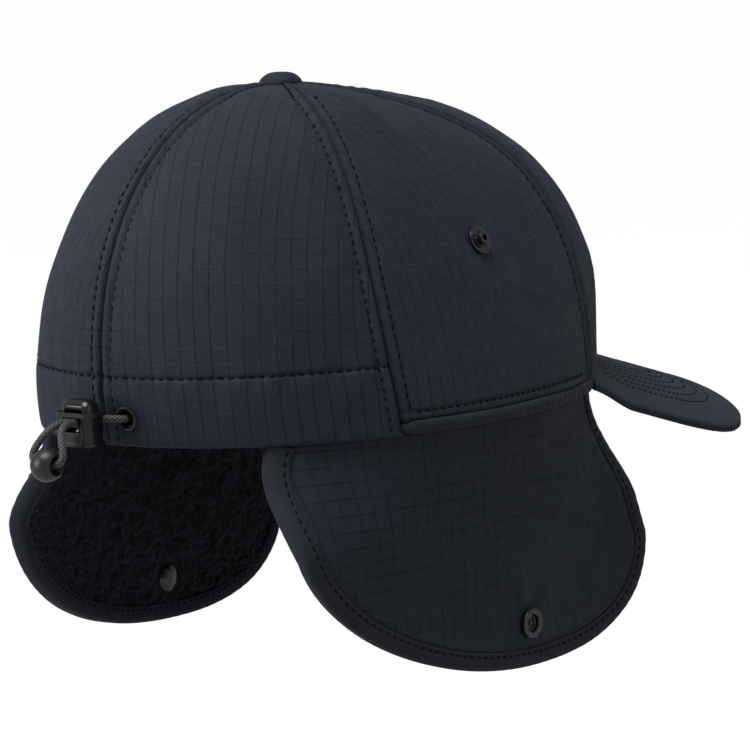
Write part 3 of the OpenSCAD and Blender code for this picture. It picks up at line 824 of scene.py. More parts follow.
def seamStitches(name, plan, onLeft, side, seed, low=0.004, high=0.955):
    leftSeam, rightSeam = plan[2], plan[3]
    s = np.linspace(low, high, 300)
    t = seamAngle(leftSeam if onLeft else rightSeam, s)
    perDegree = np.linalg.norm(crownSkin(t + 0.5, s) - crownSkin(t - 0.5, s), axis=-1)
    width = perDegree * (seamAngle(rightSeam, s) - seamAngle(leftSeam, s))
    inwards = 1 if onLeft else -1
    t = t + inwards * seam["inFromSeam"] * np.minimum(1, width / narrowPanel) / perDegree
    points, normals = clothPoints(t, s, plan, side, seed)
    return stitchRow(name, points, normals, "crown")


def levelStitches(name, plan, tFrom, tTo, height, side, seed):
    t = np.linspace(tFrom, tTo, 300)
    s = shareAt(t, height + 0 * t)
    points, normals = clothPoints(t, s, plan, side, seed)
    return stitchRow(name, points, normals, "crown")


panelPlan = [
    ("backPanel", "back_panel", "middleBack", "rear", True, False),
    ("sidePanel", "side_panel", "rear", "fore", False, True),
    ("frontPanel", "front_panel", "fore", "middleFront", False, False),
]
for side, word in ((1, "right"), (-1, "left")):
    for number, (piece, node, first, second, hasCasing, hasHem) in enumerate(panelPlan):
        seed = 10 * number + (0 if side > 0 else 1)
        placePanel(f"{piece}_{word}", f"{node}_{word}", first, second, side, seed, hasCasing, hasHem)
        low = 0.004 if hasCasing else 0.045
        seamStitches(f"{piece}Stitches_{word}_rear", panelPlan[number], True, side, seed, low=low)
        seamStitches(f"{piece}Stitches_{word}_fore", panelPlan[number], False, side, seed, low=low)
    odd = 0 if side > 0 else 1
    levelStitches(f"casingStitches_{word}", panelPlan[0], 0.8, 61.5, crown["casingLine"], side, odd)
    levelStitches(f"hemStitches_{word}", panelPlan[1], 64.8, 118.6, crown["hemLine"], side, 10 + odd)
print("crown panels and their stitching made")


def endCaps(n, m):
    # the two end faces of a tube of n rings of m points
    return [tuple(range(m)), tuple((n - 1) * m + k for k in range(m - 1, -1, -1))]


def sweepMesh(name, path, section, mat, up, taper=None):
    # section is a ring of (across, up) offsets, carried along the path
    path = np.asarray(path, float)
    n, m = len(path), len(section)
    run = arcLength(path)
    tangent = np.gradient(path, axis=0)
    tangent /= np.linalg.norm(tangent, axis=1, keepdims=True)
    up = np.broadcast_to(np.asarray(up, float), path.shape)
    across = np.cross(tangent, up)
    across /= np.linalg.norm(across, axis=1, keepdims=True)
    top = np.cross(across, tangent)
    size = np.ones(n) if taper is None else np.asarray(taper)
    verts, uvs = [], []
    girth = arcLength(np.array([(a, b, 0) for a, b in section]))
    for i in range(n):
        for k, (a, b) in enumerate(section):
            verts.append(path[i] + size[i] * (across[i] * a + top[i] * b))
            uvs.append((run[i], girth[k]))
    faces = [tuple(f[::-1]) for f in gridFaces(n, m, ringCols=True)] + endCaps(n, m)
    obj = addMesh(name, verts, faces, mat, uvs)
    fixNormals(obj)
    return obj


hem = {"from": 61.6, "to": 122.6, "points": 150, "sides": 20,
       "thick": 0.0015, "inset": 0.0005, "endTaper": 0.62}


def sideHem(side, word):
    t = np.linspace(hem["from"], hem["to"], hem["points"])
    skin, normal = crownSkin(t, 0 * t), crownNormal(t, 0 * t + 0.01)
    half = crown["hem"] / 2
    ease = smoothStep((t - hem["from"]) / 3) * smoothStep((hem["to"] - t) / 2)
    ripple = 0.00016 * np.sin(t * 2.9 + 2 * waves(skin, 60, 7)) + 0.00025 * waves(skin, 60, 9)
    path = skin - normal * hem["inset"] + np.array([0, 0, 1]) * (half + 0.0001)
    path = path + normal * ripple[:, None]
    turns = [tau * k / hem["sides"] for k in range(hem["sides"])]
    section = [(hem["thick"] * cos(a), half * sin(a) * (1 + 0.06 * cos(2 * a))) for a in turns]
    taper = hem["endTaper"] + (1 - hem["endTaper"]) * ease
    obj = sweepMesh(f"sideHem_{word}", mirrorIf(path, side), section, bindingCloth, (0, 0, 1), taper)
    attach(obj, "crown")
    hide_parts(f"side_hem_{word}")


for side, word in ((1, "right"), (-1, "left")):
    sideHem(side, word)

buttonSpec = {"radius": 0.0069, "tall": 0.0036, "foot": 0.0006,
              "pleats": 11, "pleat": 0.00012, "lump": 0.00025}


def topButton():
    low, high = (Vector(c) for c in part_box("top_button"))
    centre = (low + high) / 2
    bpy.ops.object.select_all(action="DESELECT")
    bpy.ops.mesh.primitive_uv_sphere_add(segments=64, ring_count=32, radius=buttonSpec["radius"],
                                         location=(centre.x, centre.y, low.z))
    obj = bpy.context.object
    obj.name = "topButton"
    bpy.ops.object.mode_set(mode="EDIT")
    bpy.ops.mesh.select_all(action="SELECT")
    bpy.ops.transform.resize(value=(1, 1, buttonSpec["tall"] / buttonSpec["radius"]))
    bpy.ops.mesh.bisect(plane_co=(0, 0, low.z - buttonSpec["foot"]), plane_no=(0, 0, 1),
                        clear_inner=True, use_fill=True)
    bpy.ops.object.mode_set(mode="OBJECT")
    bpy.ops.object.transform_apply(location=True, rotation=True, scale=True)
    for v in obj.data.vertices:
        d = sqrt((v.co.x - centre.x) ** 2 + (v.co.y - centre.y) ** 2)
        a = atan2(v.co.y - centre.y, v.co.x - centre.x)
        pleat = buttonSpec["pleat"] * cos(a * buttonSpec["pleats"])
        v.co.z += pleat * smoothStep(d / buttonSpec["radius"] - 0.4)
        v.co.z += buttonSpec["lump"] * noise.noise(v.co * 260)
    layer = obj.data.uv_layers.active
    for loop in obj.data.loops:
        p = obj.data.vertices[loop.vertex_index].co
        layer.data[loop.index].uv = (p.x, p.y)
    obj.data.polygons.foreach_set("use_smooth", [True] * len(obj.data.polygons))
    obj.data.materials.append(bindingCloth)
    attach(obj, "crown")
    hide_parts("top_button")


topButton()


lining = {"around": 168, "up": 46, "start": 0.15, "inward": 0.0040, "topInward": 0.0044, "thick": 0.0005,
          "tapeHalf": 0.0062, "tapeTall": 0.0004, "merge": 0.00002}


def crownLining():
    t = np.arange(lining["around"]) * 360 / lining["around"]
    s = np.linspace(lining["start"], 1.0, lining["up"])
    tt, ss = np.meshgrid(t, s, indexing="ij")
    skin, normal = crownSkin(tt, ss), crownNormal(tt, ss)
    gap = np.full(tt.shape, 1.0)
    for which in crown["seams"]:
        for mirrored in (1, -1):
            turn = seamAngle(which, ss) * mirrored
            away = np.abs((tt - turn + 180) % 360 - 180)
            gap = np.minimum(gap, away * pi / 180 * crown["halfWidth"] * np.cos(ss * pi / 2).clip(0.02))
    tape = lining["tapeTall"] * smoothStep((lining["tapeHalf"] - gap) / 0.0008)
    tape = tape - 0.0003 * hump(gap, lining["tapeHalf"] + 0.0006, 0.0006)
    puff = 0.0003 * waves(skin, 40, 31) + 0.00025 * waves(skin * np.array([1, 1, 0.3]), 90, 32)
    free = smoothStep((1.0 - ss) / 0.03)
    inward = (lining["inward"] + tape + puff) * free + lining["topInward"] * (1 - free)
    inner = skin - normal * inward[..., None]
    tip = inner[:, -1].mean(0)
    inner[:, -1] = tip
    outer = inner + normal * lining["thick"]
    outer[:, -1] = tip + np.array([0, 0, lining["thick"]])
    uv = np.stack([tt * pi / 180 * 0.09, ss * 0.165], -1)
    obj = sheetMesh("crownLining", outer, inner, liningCloth, uv, flip=True, ringRows=True)
    editMesh(obj, lambda bm: bmesh.ops.remove_doubles(bm, verts=bm.verts, dist=lining["merge"]))
    fixNormals(obj)
    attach(obj, "crown")
    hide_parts("crown_lining")


band = {"around": 220, "foot": 0.0016, "deep": 0.00545, "foldOver": 0.008, "thick": 0.0012,
        "lowRow": 0.0042, "highRow": 0.031, "rowDip": 0.0003, "rowWidth": 0.0006, "stitchIn": 0.0010}


def bandDepth(h):
    return band["foot"] + (band["deep"] - band["foot"]) * smoothStep(h / band["foldOver"])


def sweatBand():
    t = np.arange(band["around"]) * 360 / band["around"]
    h = np.concatenate([np.linspace(0.0009, 0.009, 9), np.linspace(0.011, 0.0335, 16)])
    tt, hh = np.meshgrid(t, h, indexing="ij")
    ss = shareAt(tt, hh)
    skin, normal = crownSkin(tt, ss), crownNormal(tt, ss)
    deep = bandDepth(hh)
    row = sum(band["rowDip"] * hump(hh, band[k], band["rowWidth"]) for k in ("lowRow", "highRow"))
    puff = 0.0003 * waves(skin, 55, 41) + 0.0002 * np.sin(tt * 1.9 + 3 * waves(skin, 30, 42))
    outer = skin - normal * deep[..., None]
    inner = skin - normal * (deep + band["thick"] - row + puff)[..., None]
    uv = np.stack([tt * pi / 180 * 0.092, hh], -1)
    obj = sheetMesh("sweatBand", outer, inner, sweatCloth, uv, flip=True, ringRows=True)
    fixNormals(obj)
    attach(obj, "crown")
    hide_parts("sweatband")
    for label in ("low", "high"):
        t = np.linspace(0, 360, 420)
        hh = 0 * t + band[f"{label}Row"]
        ss = shareAt(t, hh)
        deep = bandDepth(hh) + band["stitchIn"]
        skin, normal = crownSkin(t, ss), crownNormal(t, ss)
        stitchRow(f"bandStitches_{label}", skin - normal * deep[:, None], -normal, "crown")


crownLining()
sweatBand()
print("hem, button, lining and sweatband made")


def visorEdge(u):
    q = u * pi / 2
    yc = crown["halfLength"] * cos(endTurn)
    reach = visor["length"] + crown["halfLength"] * (1 + cos(endTurn))
    corner = (crown["halfWidth"] * sin(endTurn) + 0.001) / visor["half"]
    pull = 1 - smoothStep((np.abs(u) - visor["pullFrom"]) / (1 - visor["pullFrom"])) * (1 - corner)
    return np.stack([np.sign(u) * visor["half"] * np.abs(np.sin(q)) ** visor["sideFlat"] * pull,
                     yc - reach * np.clip(np.cos(q), 0, 1) ** visor["foreFlat"]], -1)


def visorRoot(u, lift):
    t = 180 + u * (180 - crown["visorEnd"])
    s = lift / (crown["height"] * pi / 2)
    n = crownNormal(t, s + 0 * t)
    flat = n[..., :2] / np.linalg.norm(n[..., :2], axis=-1, keepdims=True)
    return crownSkin(t, s + 0 * t)[..., :2] - 0.0004 * flat


def evenEdge(count):
    # the outline with points an even distance apart
    u = np.sin(np.linspace(-1, 1, 4001) * pi / 2)
    line = visorEdge(u)
    run = arcLength(line)
    at = np.interp(np.linspace(0, run[-1], count), run, u)
    return at, visorEdge(at)


def insetEdge(inset, count=700):
    # the outline moved inwards by inset, kept where it is clear of the crown
    u, line = evenEdge(count)
    step = np.gradient(line, axis=0)
    step /= np.linalg.norm(step, axis=1, keepdims=True)
    inner = line + inset * np.stack([step[:, 1], -step[:, 0]], -1)
    middle = np.array([0, visorRoot(np.array(0.0), 0.0)[1] - 0.01])
    if np.linalg.norm(inner[count // 2] - middle) > np.linalg.norm(line[count // 2] - middle):
        inner = line - inset * np.stack([step[:, 1], -step[:, 0]], -1)
    c, n = inner[:, 1] / crown["halfLength"], inner[:, 0] / crown["halfWidth"]
    return inner[np.hypot(c, n) > 1.024]


def visorTop(x, y):
    # the visor dips a little more at its sides than the rim's curve says
    clear = smoothStep((np.hypot(x / crown["halfWidth"], y / crown["halfLength"]) - 1) / visor["dipWidth"])
    return visorHeight(x, y) - visor["sideDip"] * clear * (x / crown["halfWidth"]) ** 2


def visorSurface(u, v, lift):
    root, edge = visorRoot(u, lift), visorEdge(u)
    p = root + (edge - root) * v[..., None]
    z = visorTop(p[..., 0], p[..., 1]) + lift
    length = np.linalg.norm(edge - root, axis=-1)
    return np.concatenate([p, z[..., None]], -1), length * (1 - v), length


def edgeDistance(points):
    flat = points[..., :2].reshape(-1, 2)
    line = evenEdge(420)[1]
    out = np.empty(len(flat))
    for k in range(0, len(flat), 4000):
        gap = flat[k:k + 4000, None] - line[None]
        out[k:k + 4000] = np.sqrt((gap ** 2).sum(-1).min(1))
    return out.reshape(points.shape[:-1])


def visorRelief(toEdge, points, seed):
    out = 0 * toEdge
    for k in range(visor["rows"]):
        out = out - visor["rowDip"] * hump(toEdge, visor["rowsIn"] + k * visor["rowGap"], 0.0006)
    puffs = visor["rowPuff"] * np.abs(np.sin(pi * (toEdge - visor["rowsIn"]) / visor["rowGap"]))
    inRows = smoothStep((toEdge - visor["rowsIn"]) / 0.001)
    lastRow = visor["rowsIn"] + (visor["rows"] - 1) * visor["rowGap"]
    out = out + puffs * inRows * smoothStep((lastRow - toEdge) / 0.001)
    return out + visor["swell"] * waves(points, visor["swellScale"], seed)


def visorCover(name, node, isTop):
    turns, _ = evenEdge(170)
    away = 1 - (1 - np.linspace(0, 1, 96)) ** 1.15
    uu, vv = np.meshgrid(turns, away, indexing="ij")
    lift = visor["stack"] if isTop else 0.0
    points, toEdge, length = visorSurface(uu, vv, lift)
    straight = edgeDistance(points)
    seed = 51 if isTop else 53
    relief = visorRelief(straight, points, seed)
    relief = relief * smoothStep(toEdge / 0.003) * smoothStep((length - toEdge) / 0.004 + 0.2)
    radius = visor["edgeRound"]
    fall = radius - np.sqrt(np.clip(radius ** 2 - np.clip(radius - straight, 0, radius) ** 2, 0, None))
    sign = 1 if isTop else -1
    points[..., 2] += sign * (relief - fall)
    if isTop:
        points[..., 2] += visor["seamTurn"] * np.exp(-(length - toEdge) / 0.0012)
    edge = points[:, -1].copy()
    middle = visorTop(edge[:, 0], edge[:, 1]) + visor["stack"] / 2 + sign * 0.00012
    drop = [points]
    for share in (0.35, 0.7, 1.0):
        row = edge.copy()
        row[:, 2] = edge[:, 2] + (middle - edge[:, 2]) * share
        drop.append(row[:, None])
    outer = np.concatenate(drop, 1)
    inner = outer.copy()
    inner[..., 2] -= sign * visor["cover"]
    inside = outer[:, -4:, :2]
    inner[:, -4:, :2] = inside * (1 - 0.0006 / np.linalg.norm(inside, axis=-1, keepdims=True))
    inner[:, -4:-1, 2] = outer[:, -4:-1, 2] - sign * np.array([0.0005, 0.0003, 0.0001])
    inner[:, -1, 2] = outer[:, -1, 2]
    uv = outer[..., :2].copy()
    uv[:, -3:, 1] += 0.001 * np.arange(1, 4)
    obj = sheetMesh(name, outer, inner, visorCloth if isTop else visorUnderCloth, uv)
    fixNormals(obj)
    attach(obj, "crown")
    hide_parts(node)
    for k in range(visor["rows"]):
        line = insetEdge(visor["rowsIn"] + k * visor["rowGap"])
        path = np.column_stack([line, visorTop(line[:, 0], line[:, 1]) + lift])
        path[:, 2] += sign * (visor["swell"] * waves(path, visor["swellScale"], seed) - 0.00022)
        up = np.zeros_like(path)
        up[:, 2] = sign
        stitchRow(f"{name}Stitches_{k + 1}", path, up, "crown",
                  visor["stitchPitch"], visor["stitch"], visor["stitchGirth"])


def visorBoard():
    turns, _ = evenEdge(90)
    span = np.linalg.norm(visorEdge(turns) - visorRoot(turns, 0.0), axis=-1)
    reach = np.clip(1 - visor["boardIn"] / np.maximum(span, 1e-4), 0.04, 1)
    vv = 0.02 + (reach[:, None] - 0.02) * np.linspace(0, 1, 24)
    uu = turns[:, None] + 0 * vv
    top, _, _ = visorSurface(uu, vv, visor["stack"] - visor["boardSkin"])
    low, _, _ = visorSurface(uu, vv, visor["boardSkin"])
    obj = sheetMesh("visorBoardInside", top, low, boardPlastic, top[..., :2])
    fixNormals(obj)
    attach(obj, "crown")
    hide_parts("visor_board")


visorBoard()
visorCover("visorTopCover", "visor_top_cover", True)
visorCover("visorUnderCover", "visor_under_cover", False)
print("visor made")


flap = {
    "top": -0.0006, "middle": -0.010, "rear": 0.100, "fore": 0.0575, "drop": 0.081,
    "rearTrim": 0.001, "rearNarrows": 0.0045,
    "rearLevel": -0.02511, "foreLevel": -0.04698, "side": 0.0785,
    "shell": 0.0008, "fleeceIn": 0.0026, "thick": 0.0048,
    "binding": 0.0061, "bindingStitch": 0.0046,
    "tuck": 0.0016,          # how far the flap's top runs up behind the hem
    "foldStart": (0.0785, 0, 0.0004), "foldEnd": (0.0815, 0, -0.0095),
    "foreLean": 0.012, "foreRound": 2.4, "underBinding": 0.0012, "edgeGap": 0.00025, "easeOver": 0.02,
}
# height, waves per metre and stretch of the flap's soft folds
flapFolds = [(0.0013, 26, (1, 0.8, 0.45)), (0.0004, 60, (1, 1, 1))]
pile = {"curl": 0.0019, "scale": 430, "stray": 0.0009, "strayScale": 420, "bald": 0.0075, "dent": 0.0004,
        "seed": 7}
noise.seed_set(pile["seed"])     # so that noise_vector gives the same pile on every run


def flapBack(z, inset):
    k = (z - flap["rearLevel"]) / (flap["drop"] + flap["rearLevel"] - inset)
    below = (flap["rear"] - flap["rearTrim"] - inset) * np.sqrt(np.clip(1 - k * k, 0, 1))
    rise = np.clip((z - flap["rearLevel"]) / -flap["rearLevel"], 0, 1.1)
    above = flap["rear"] - flap["rearTrim"] - inset - flap["rearNarrows"] * rise ** 2
    return flap["middle"] + np.where(z < flap["rearLevel"], below, above)


def flapFore(z, inset):
    upper = flap["middle"] - flap["fore"] + inset + flap["foreLean"] * np.sin(
        pi / 2 * (z - flap["foreLevel"]) / -flap["foreLevel"])
    k = np.clip((flap["foreLevel"] - z) / (flap["drop"] + flap["foreLevel"] - inset), 0, 1)
    power = flap["foreRound"]
    lower = flap["middle"] - (flap["fore"] - inset) * (1 - k ** power) ** (1 / power)
    return np.where(z > flap["foreLevel"], upper, lower)


def flapSkin(y, z):
    atRim = flap["side"] * np.sqrt(np.clip(1 - (y / (crown["halfLength"] - 0.0015)) ** 2, 0.05, 1))
    rear = np.clip((y - flap["middle"]) / 0.07, 0, None)
    fore = np.clip((flap["middle"] - y) / 0.055, 0, None)
    hang = flap["side"] - 0.009 * rear ** 2 + 0.0015 * fore ** 2
    k = smoothStep(-z / 0.035)
    return np.stack([-(atRim + (hang - atRim) * k), y, z], -1)


def flapNormal(y, z):
    e = 0.0005
    n = np.cross(flapSkin(y, z + e) - flapSkin(y, z - e), flapSkin(y + e, z) - flapSkin(y - e, z))
    return n / np.linalg.norm(n, axis=-1, keepdims=True)


snapPlace = np.array(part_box("flap_socket_right")).mean(0)


def flapGrid(inset, down, across):
    low = -flap["drop"] + inset + flap["edgeGap"]
    rows = flap["top"] + (low - flap["top"]) * np.sin(pi / 2 * np.linspace(0, 1, down))
    ys, zs = [], []
    lean = 0.5 - 0.5 * np.cos(pi * np.linspace(0, 1, across))
    spread = 0.55 * np.linspace(0, 1, across) + 0.45 * lean
    for z in rows:
        ease = 1 - smoothStep((flap["top"] - z) / flap["easeOver"])
        ends = np.array(z + flap["tuck"] * ease)
        a, b = float(flapFore(ends, inset)), float(flapBack(ends, inset))
        y = a + (b - a) * spread
        ys.append(y)
        zs.append(z + flap["tuck"] * ease + 0 * y)
    return np.array(ys), np.array(zs)


def flapRelief(points, seed):
    turned = points.copy()
    turned[..., 1] = points[..., 1] * 0.8 + points[..., 2] * 0.6
    turned[..., 2] = points[..., 2] * 0.8 - points[..., 1] * 0.6
    out = sum(tall * waves(turned * np.array(stretch), scale, seed + k)
              for k, (tall, scale, stretch) in enumerate(flapFolds))
    away = np.linalg.norm(np.abs(points) - np.abs(snapPlace), axis=-1)
    dy, dz = points[..., 1] - snapPlace[1], points[..., 2] - snapPlace[2]
    rays = 0.0005 * np.sin(5 * np.arctan2(dz, dy) + 1.0) * hump(away, 0.010, 0.006)
    calm = 1 - np.exp(-(away / 0.009) ** 2)
    free = smoothStep(-points[..., 2] / 0.012)
    return (out * calm + rays) * free


def bendFlap(obj):
    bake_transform(obj)


def flapShell(side, word, seed):
    y, z = flapGrid(flap["binding"] - flap["underBinding"], 96, 120)
    skin, normal = flapSkin(y, z), flapNormal(y, z)
    relief = flapRelief(skin, seed)
    rim = np.minimum(y - flapFore(z, flap["binding"]), flapBack(z, flap["binding"]) - y)
    rim = np.minimum(rim, z + flap["drop"] - flap["binding"])
    relief = relief * smoothStep(rim / 0.008)
    relief = relief - 0.0004 * hump(rim, 0.0003, 0.0009) + 0.0004 * hump(rim, 0.0035, 0.003)
    behind = smoothStep((z - flap["top"]) / flap["tuck"])[..., None]
    outer = skin + normal * relief[..., None] - normal * 0.0004 * behind
    inner = outer - normal * flap["shell"]
    uv = np.stack([y, z], -1)
    obj = sheetMesh(f"flapShell_{word}", mirrorIf(outer, side), mirrorIf(inner, side), shadedFlapCloth, uv)
    fixNormals(obj)
    bendFlap(obj)
    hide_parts(f"flap_shell_{word}")


def flapFleece(side, word, seed):
    y, z = flapGrid(flap["binding"] - flap["underBinding"], 150, 190)
    skin, normal = flapSkin(y, z), flapNormal(y, z)
    calm = np.exp(-(np.hypot(y - snapPlace[1], z - snapPlace[2]) / pile["bald"]) ** 4)
    shift = Vector((seed, 0.3 * seed, 2.1))
    near = []
    for p in skin.reshape(-1, 3):
        q = Vector(p) + Vector(noise.noise_vector(Vector(p) * pile["strayScale"] + shift)) * pile["stray"]
        near.append(noise.voronoi(q * pile["scale"] + shift)[0][0])
    lumps = (0.55 - np.array(near).reshape(y.shape)) * pile["curl"]
    lumps = lumps + 0.0009 * waves(skin, 110, seed + 1) + 0.0005 * waves(skin, 520, seed + 2)
    deep = flap["thick"] + lumps * (1 - calm) - pile["dent"] * calm
    inner = skin - normal * deep[..., None]
    outer = skin - normal * (flap["fleeceIn"] - flap["underBinding"])
    uv = np.stack([y, z], -1)
    obj = sheetMesh(f"flapFleece_{word}", mirrorIf(outer, side), mirrorIf(inner, side), fleece, uv)
    fixNormals(obj)
    bendFlap(obj)
    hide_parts(f"flap_fleece_{word}", f"flap_wadding_{word}")


def flapOutline(count):
    start = flap["top"] + flap["tuck"]
    z = start + (-flap["drop"] - start) * np.sin(pi / 2 * np.linspace(0, 1, 400))
    rear = np.stack([flapBack(z, 0.0), z, 0 * z], -1)
    fore = np.stack([flapFore(z, 0.0), z, 0 * z], -1)[::-1]
    line = np.concatenate([rear, fore[1:]])
    run = arcLength(line)
    at = np.linspace(0, run[-1], count)
    y, z = np.interp(at, run, line[:, 0]), np.interp(at, run, line[:, 1])
    dy, dz = np.gradient(y), np.gradient(z)
    size = np.hypot(dy, dz)
    return y, z, dz / size, -dy / size


def flapBinding(side, word, seed):
    y, z, ny, nz = flapOutline(230)
    t = flap["thick"]
    w = flap["binding"]
    section = [
        (w, 0.0001), (w - 0.0003, -0.0005), (w - 0.0009, -0.0006), (flap["bindingStitch"], -0.00042),
        (0.0036, -0.00072), (0.0022, -0.00075), (0.001, -0.0005), (0.0003, 0.0002), (0.0, 0.0012),
        (0.0, t - 0.0012), (0.0003, t - 0.0002), (0.001, t + 0.0005), (0.0022, t + 0.0008),
        (0.0036, t + 0.0008), (flap["bindingStitch"], t + 0.0006), (w - 0.0009, t + 0.0008),
        (w - 0.0003, t + 0.0007), (w, t), (w - 0.0006, t - 0.001), (w - 0.0006, 0.001),
    ]
    run = arcLength(np.stack([y, z, 0 * y], -1))
    rings = []
    for a, b in section:
        yy, zz = y + a * ny, z + a * nz
        skin, normal = flapSkin(yy, zz), flapNormal(yy, zz)
        ripple = 0.00005 * waves(skin, 260, seed) + 0.0002 * waves(skin, 70, seed + 1)
        pucker = 0.00006 * np.sin(run * tau / 0.0042 + 4 * waves(skin, 60, seed + 2))
        outwards = -1 if b < t / 2 else 1
        rings.append(skin - normal * (b + outwards * (ripple + pucker))[:, None])
    grid = np.stack(rings, 1)
    n, m = grid.shape[:2]
    around = arcLength(np.array([(a, b, 0) for a, b in section]))
    uv = np.stack([np.broadcast_to(run[:, None], (n, m)), np.broadcast_to(around, (n, m))], -1)
    faces = [tuple(f) for f in gridFaces(n, m, ringCols=True)] + endCaps(n, m)
    verts = mirrorIf(grid, side).reshape(-1, 3)
    obj = addMesh(f"flapBinding_{word}", verts, faces, bindingCloth, uv.reshape(-1, 2))
    fixNormals(obj)
    bendFlap(obj)
    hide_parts(f"flap_binding_{word}")
    for label, deep, facing in (("outside", -0.00045, 1), ("inside", t + 0.00062, -1)):
        a = flap["bindingStitch"]
        yy, zz = y + a * ny, z + a * nz
        skin, normal = flapSkin(yy, zz), flapNormal(yy, zz)
        row = stitchRow(f"flapStitches_{label}_{word}", mirrorIf(skin - normal * deep, side),
                        mirrorIf(normal * facing, side), None)
        bendFlap(row)


for side, word in ((1, "right"), (-1, "left")):
    seed = 70 if side > 0 else 80
    flapShell(side, word, seed)
    flapFleece(side, word, seed + 3)
    flapBinding(side, word, seed + 6)
print("ear flaps made")


cordSpec = {
    "diameter": 0.0023,
    "length": 0.085,
    "rightHalf": [
        (-8.1, 106.1, 9.2), (-7.3, 107.5, 9.2), (-6.2, 108.9, 9.3), (-4.9, 110.1, 9.4), (-3.5, 111.2, 9.5),
        (-2.3, 112.4, 9.6), (-1.6, 113.8, 9.7), (-1.35, 115.4, 9.7), (-1.35, 117.2, 9.7), (-1.35, 119.2, 9.7),
        (-1.35, 121.2, 9.7), (-1.35, 123.2, 9.7), (-1.4, 125.4, 9.6), (-1.9, 127.8, 8.9), (-2.9, 129.9, 7.4),
        (-4.3, 131.4, 5.2), (-5.6, 132.4, 2.9), (-6.1, 133.1, 0.8), (-5.2, 133.5, -0.8), (-3.3, 133.6, -1.6),
        (0, 133.7, -2),
    ],
}


def splinePath(points, steps):
    p = np.array(points, float)
    out = []
    for i in range(len(p) - 1):
        a, b, c, d = p[max(i - 1, 0)], p[i], p[i + 1], p[min(i + 2, len(p) - 1)]
        for k in np.arange(steps) / steps:
            out.append(0.5 * (2 * b + (c - a) * k + (2 * a - 5 * b + 4 * c - d) * k * k
                              + (3 * b - a - 3 * c + d) * k ** 3))
    out.append(p[-1])
    return np.array(out)


def ringSection(radius, sides):
    return [(radius * cos(tau * k / sides), radius * sin(tau * k / sides)) for k in range(sides)]


def cordTube(name, path, mat, body):
    path = np.array(path)
    obj = sweepMesh(name, path, ringSection(cordSpec["diameter"] / 2, 16), mat, (0.0, 0.3, 1.0))
    layer = obj.data.uv_layers.active
    girth = pi * cordSpec["diameter"]
    for item in layer.data:
        item.uv = (item.uv[0], item.uv[1] / girth)
    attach(obj, body)
    return obj


half = [tuple(v / 1000 for v in p) for p in cordSpec["rightHalf"]]
otherHalf = [(-x, y, z) for x, y, z in half[-2::-1]]
cordPath = splinePath(half + otherHalf, 6)
drawcord = cordTube("drawcord", cordPath, cordCloth, "crown")
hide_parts("drawcord_loop")
print("drawcord length", round(float(arcLength(cordPath)[-1]), 4))
print("drawcord made")


def freshCube(name, size, centre):
    bpy.ops.object.select_all(action="DESELECT")
    bpy.ops.mesh.primitive_cube_add(size=1, location=centre)
    obj = bpy.context.object
    obj.name = name
    obj.scale = size
    bpy.ops.object.transform_apply(location=True, rotation=True, scale=True)
    return obj


def freshDisc(name, radius, depth, centre, sides=64):
    bpy.ops.object.select_all(action="DESELECT")
    bpy.ops.mesh.primitive_cylinder_add(vertices=sides, radius=radius, depth=depth, location=centre)
    obj = bpy.context.object
    obj.name = name
    bpy.ops.object.transform_apply(location=True, rotation=True, scale=True)
    return obj


def useModifier(obj, kind, **settings):
    bpy.context.view_layer.objects.active = obj
    mod = obj.modifiers.new(kind.lower(), kind)
    for key, value in settings.items():
        setattr(mod, key, value)
    bpy.ops.object.modifier_apply(modifier=mod.name)


def combine(obj, other, how):
    useModifier(obj, "BOOLEAN", operation=how, object=other, solver="EXACT")
    bpy.data.objects.remove(other)


def soften(obj, width, segments=3, angle=30):
    useModifier(obj, "BEVEL", width=width, segments=segments, limit_method="ANGLE",
                angle_limit=radians(angle))
    onlyActive(obj)
    bpy.ops.object.shade_smooth_by_angle(angle=radians(40))


def roundedBlock(name, size, centre, corner):
    obj = freshCube(name, size, centre)
    heights = [v.co.z for v in obj.data.vertices]
    upright = [e.index for e in obj.data.edges
               if abs(heights[e.vertices[0]] - heights[e.vertices[1]]) > size[2] / 2]
    bpy.ops.object.mode_set(mode="EDIT")
    bpy.ops.mesh.select_mode(type="EDGE")
    bpy.ops.mesh.select_all(action="DESELECT")
    bpy.ops.object.mode_set(mode="OBJECT")
    for index in upright:
        obj.data.edges[index].select = True
    bpy.ops.object.mode_set(mode="EDIT")
    bpy.ops.mesh.bevel(offset=corner, segments=6, affect="EDGES")
    bpy.ops.object.mode_set(mode="OBJECT")
    return obj


lock = {
    "y": 0.1176, "low": 0.0021, "high": 0.0125, "wide": 0.0124, "deep": 0.009,
    "collarTall": 0.0013, "collarOut": 0.0010, "lipOut": 0.0008,
    "windowLow": 0.0064, "windowHigh": 0.0110, "windowHalf": 0.0036,
    "buttonWide": 0.0110, "buttonDeep": 0.0072, "buttonLow": 0.0071, "buttonHigh": 0.0166,
    "slotLow": 0.0084, "slotHigh": 0.0129, "play": 0.0003,
}


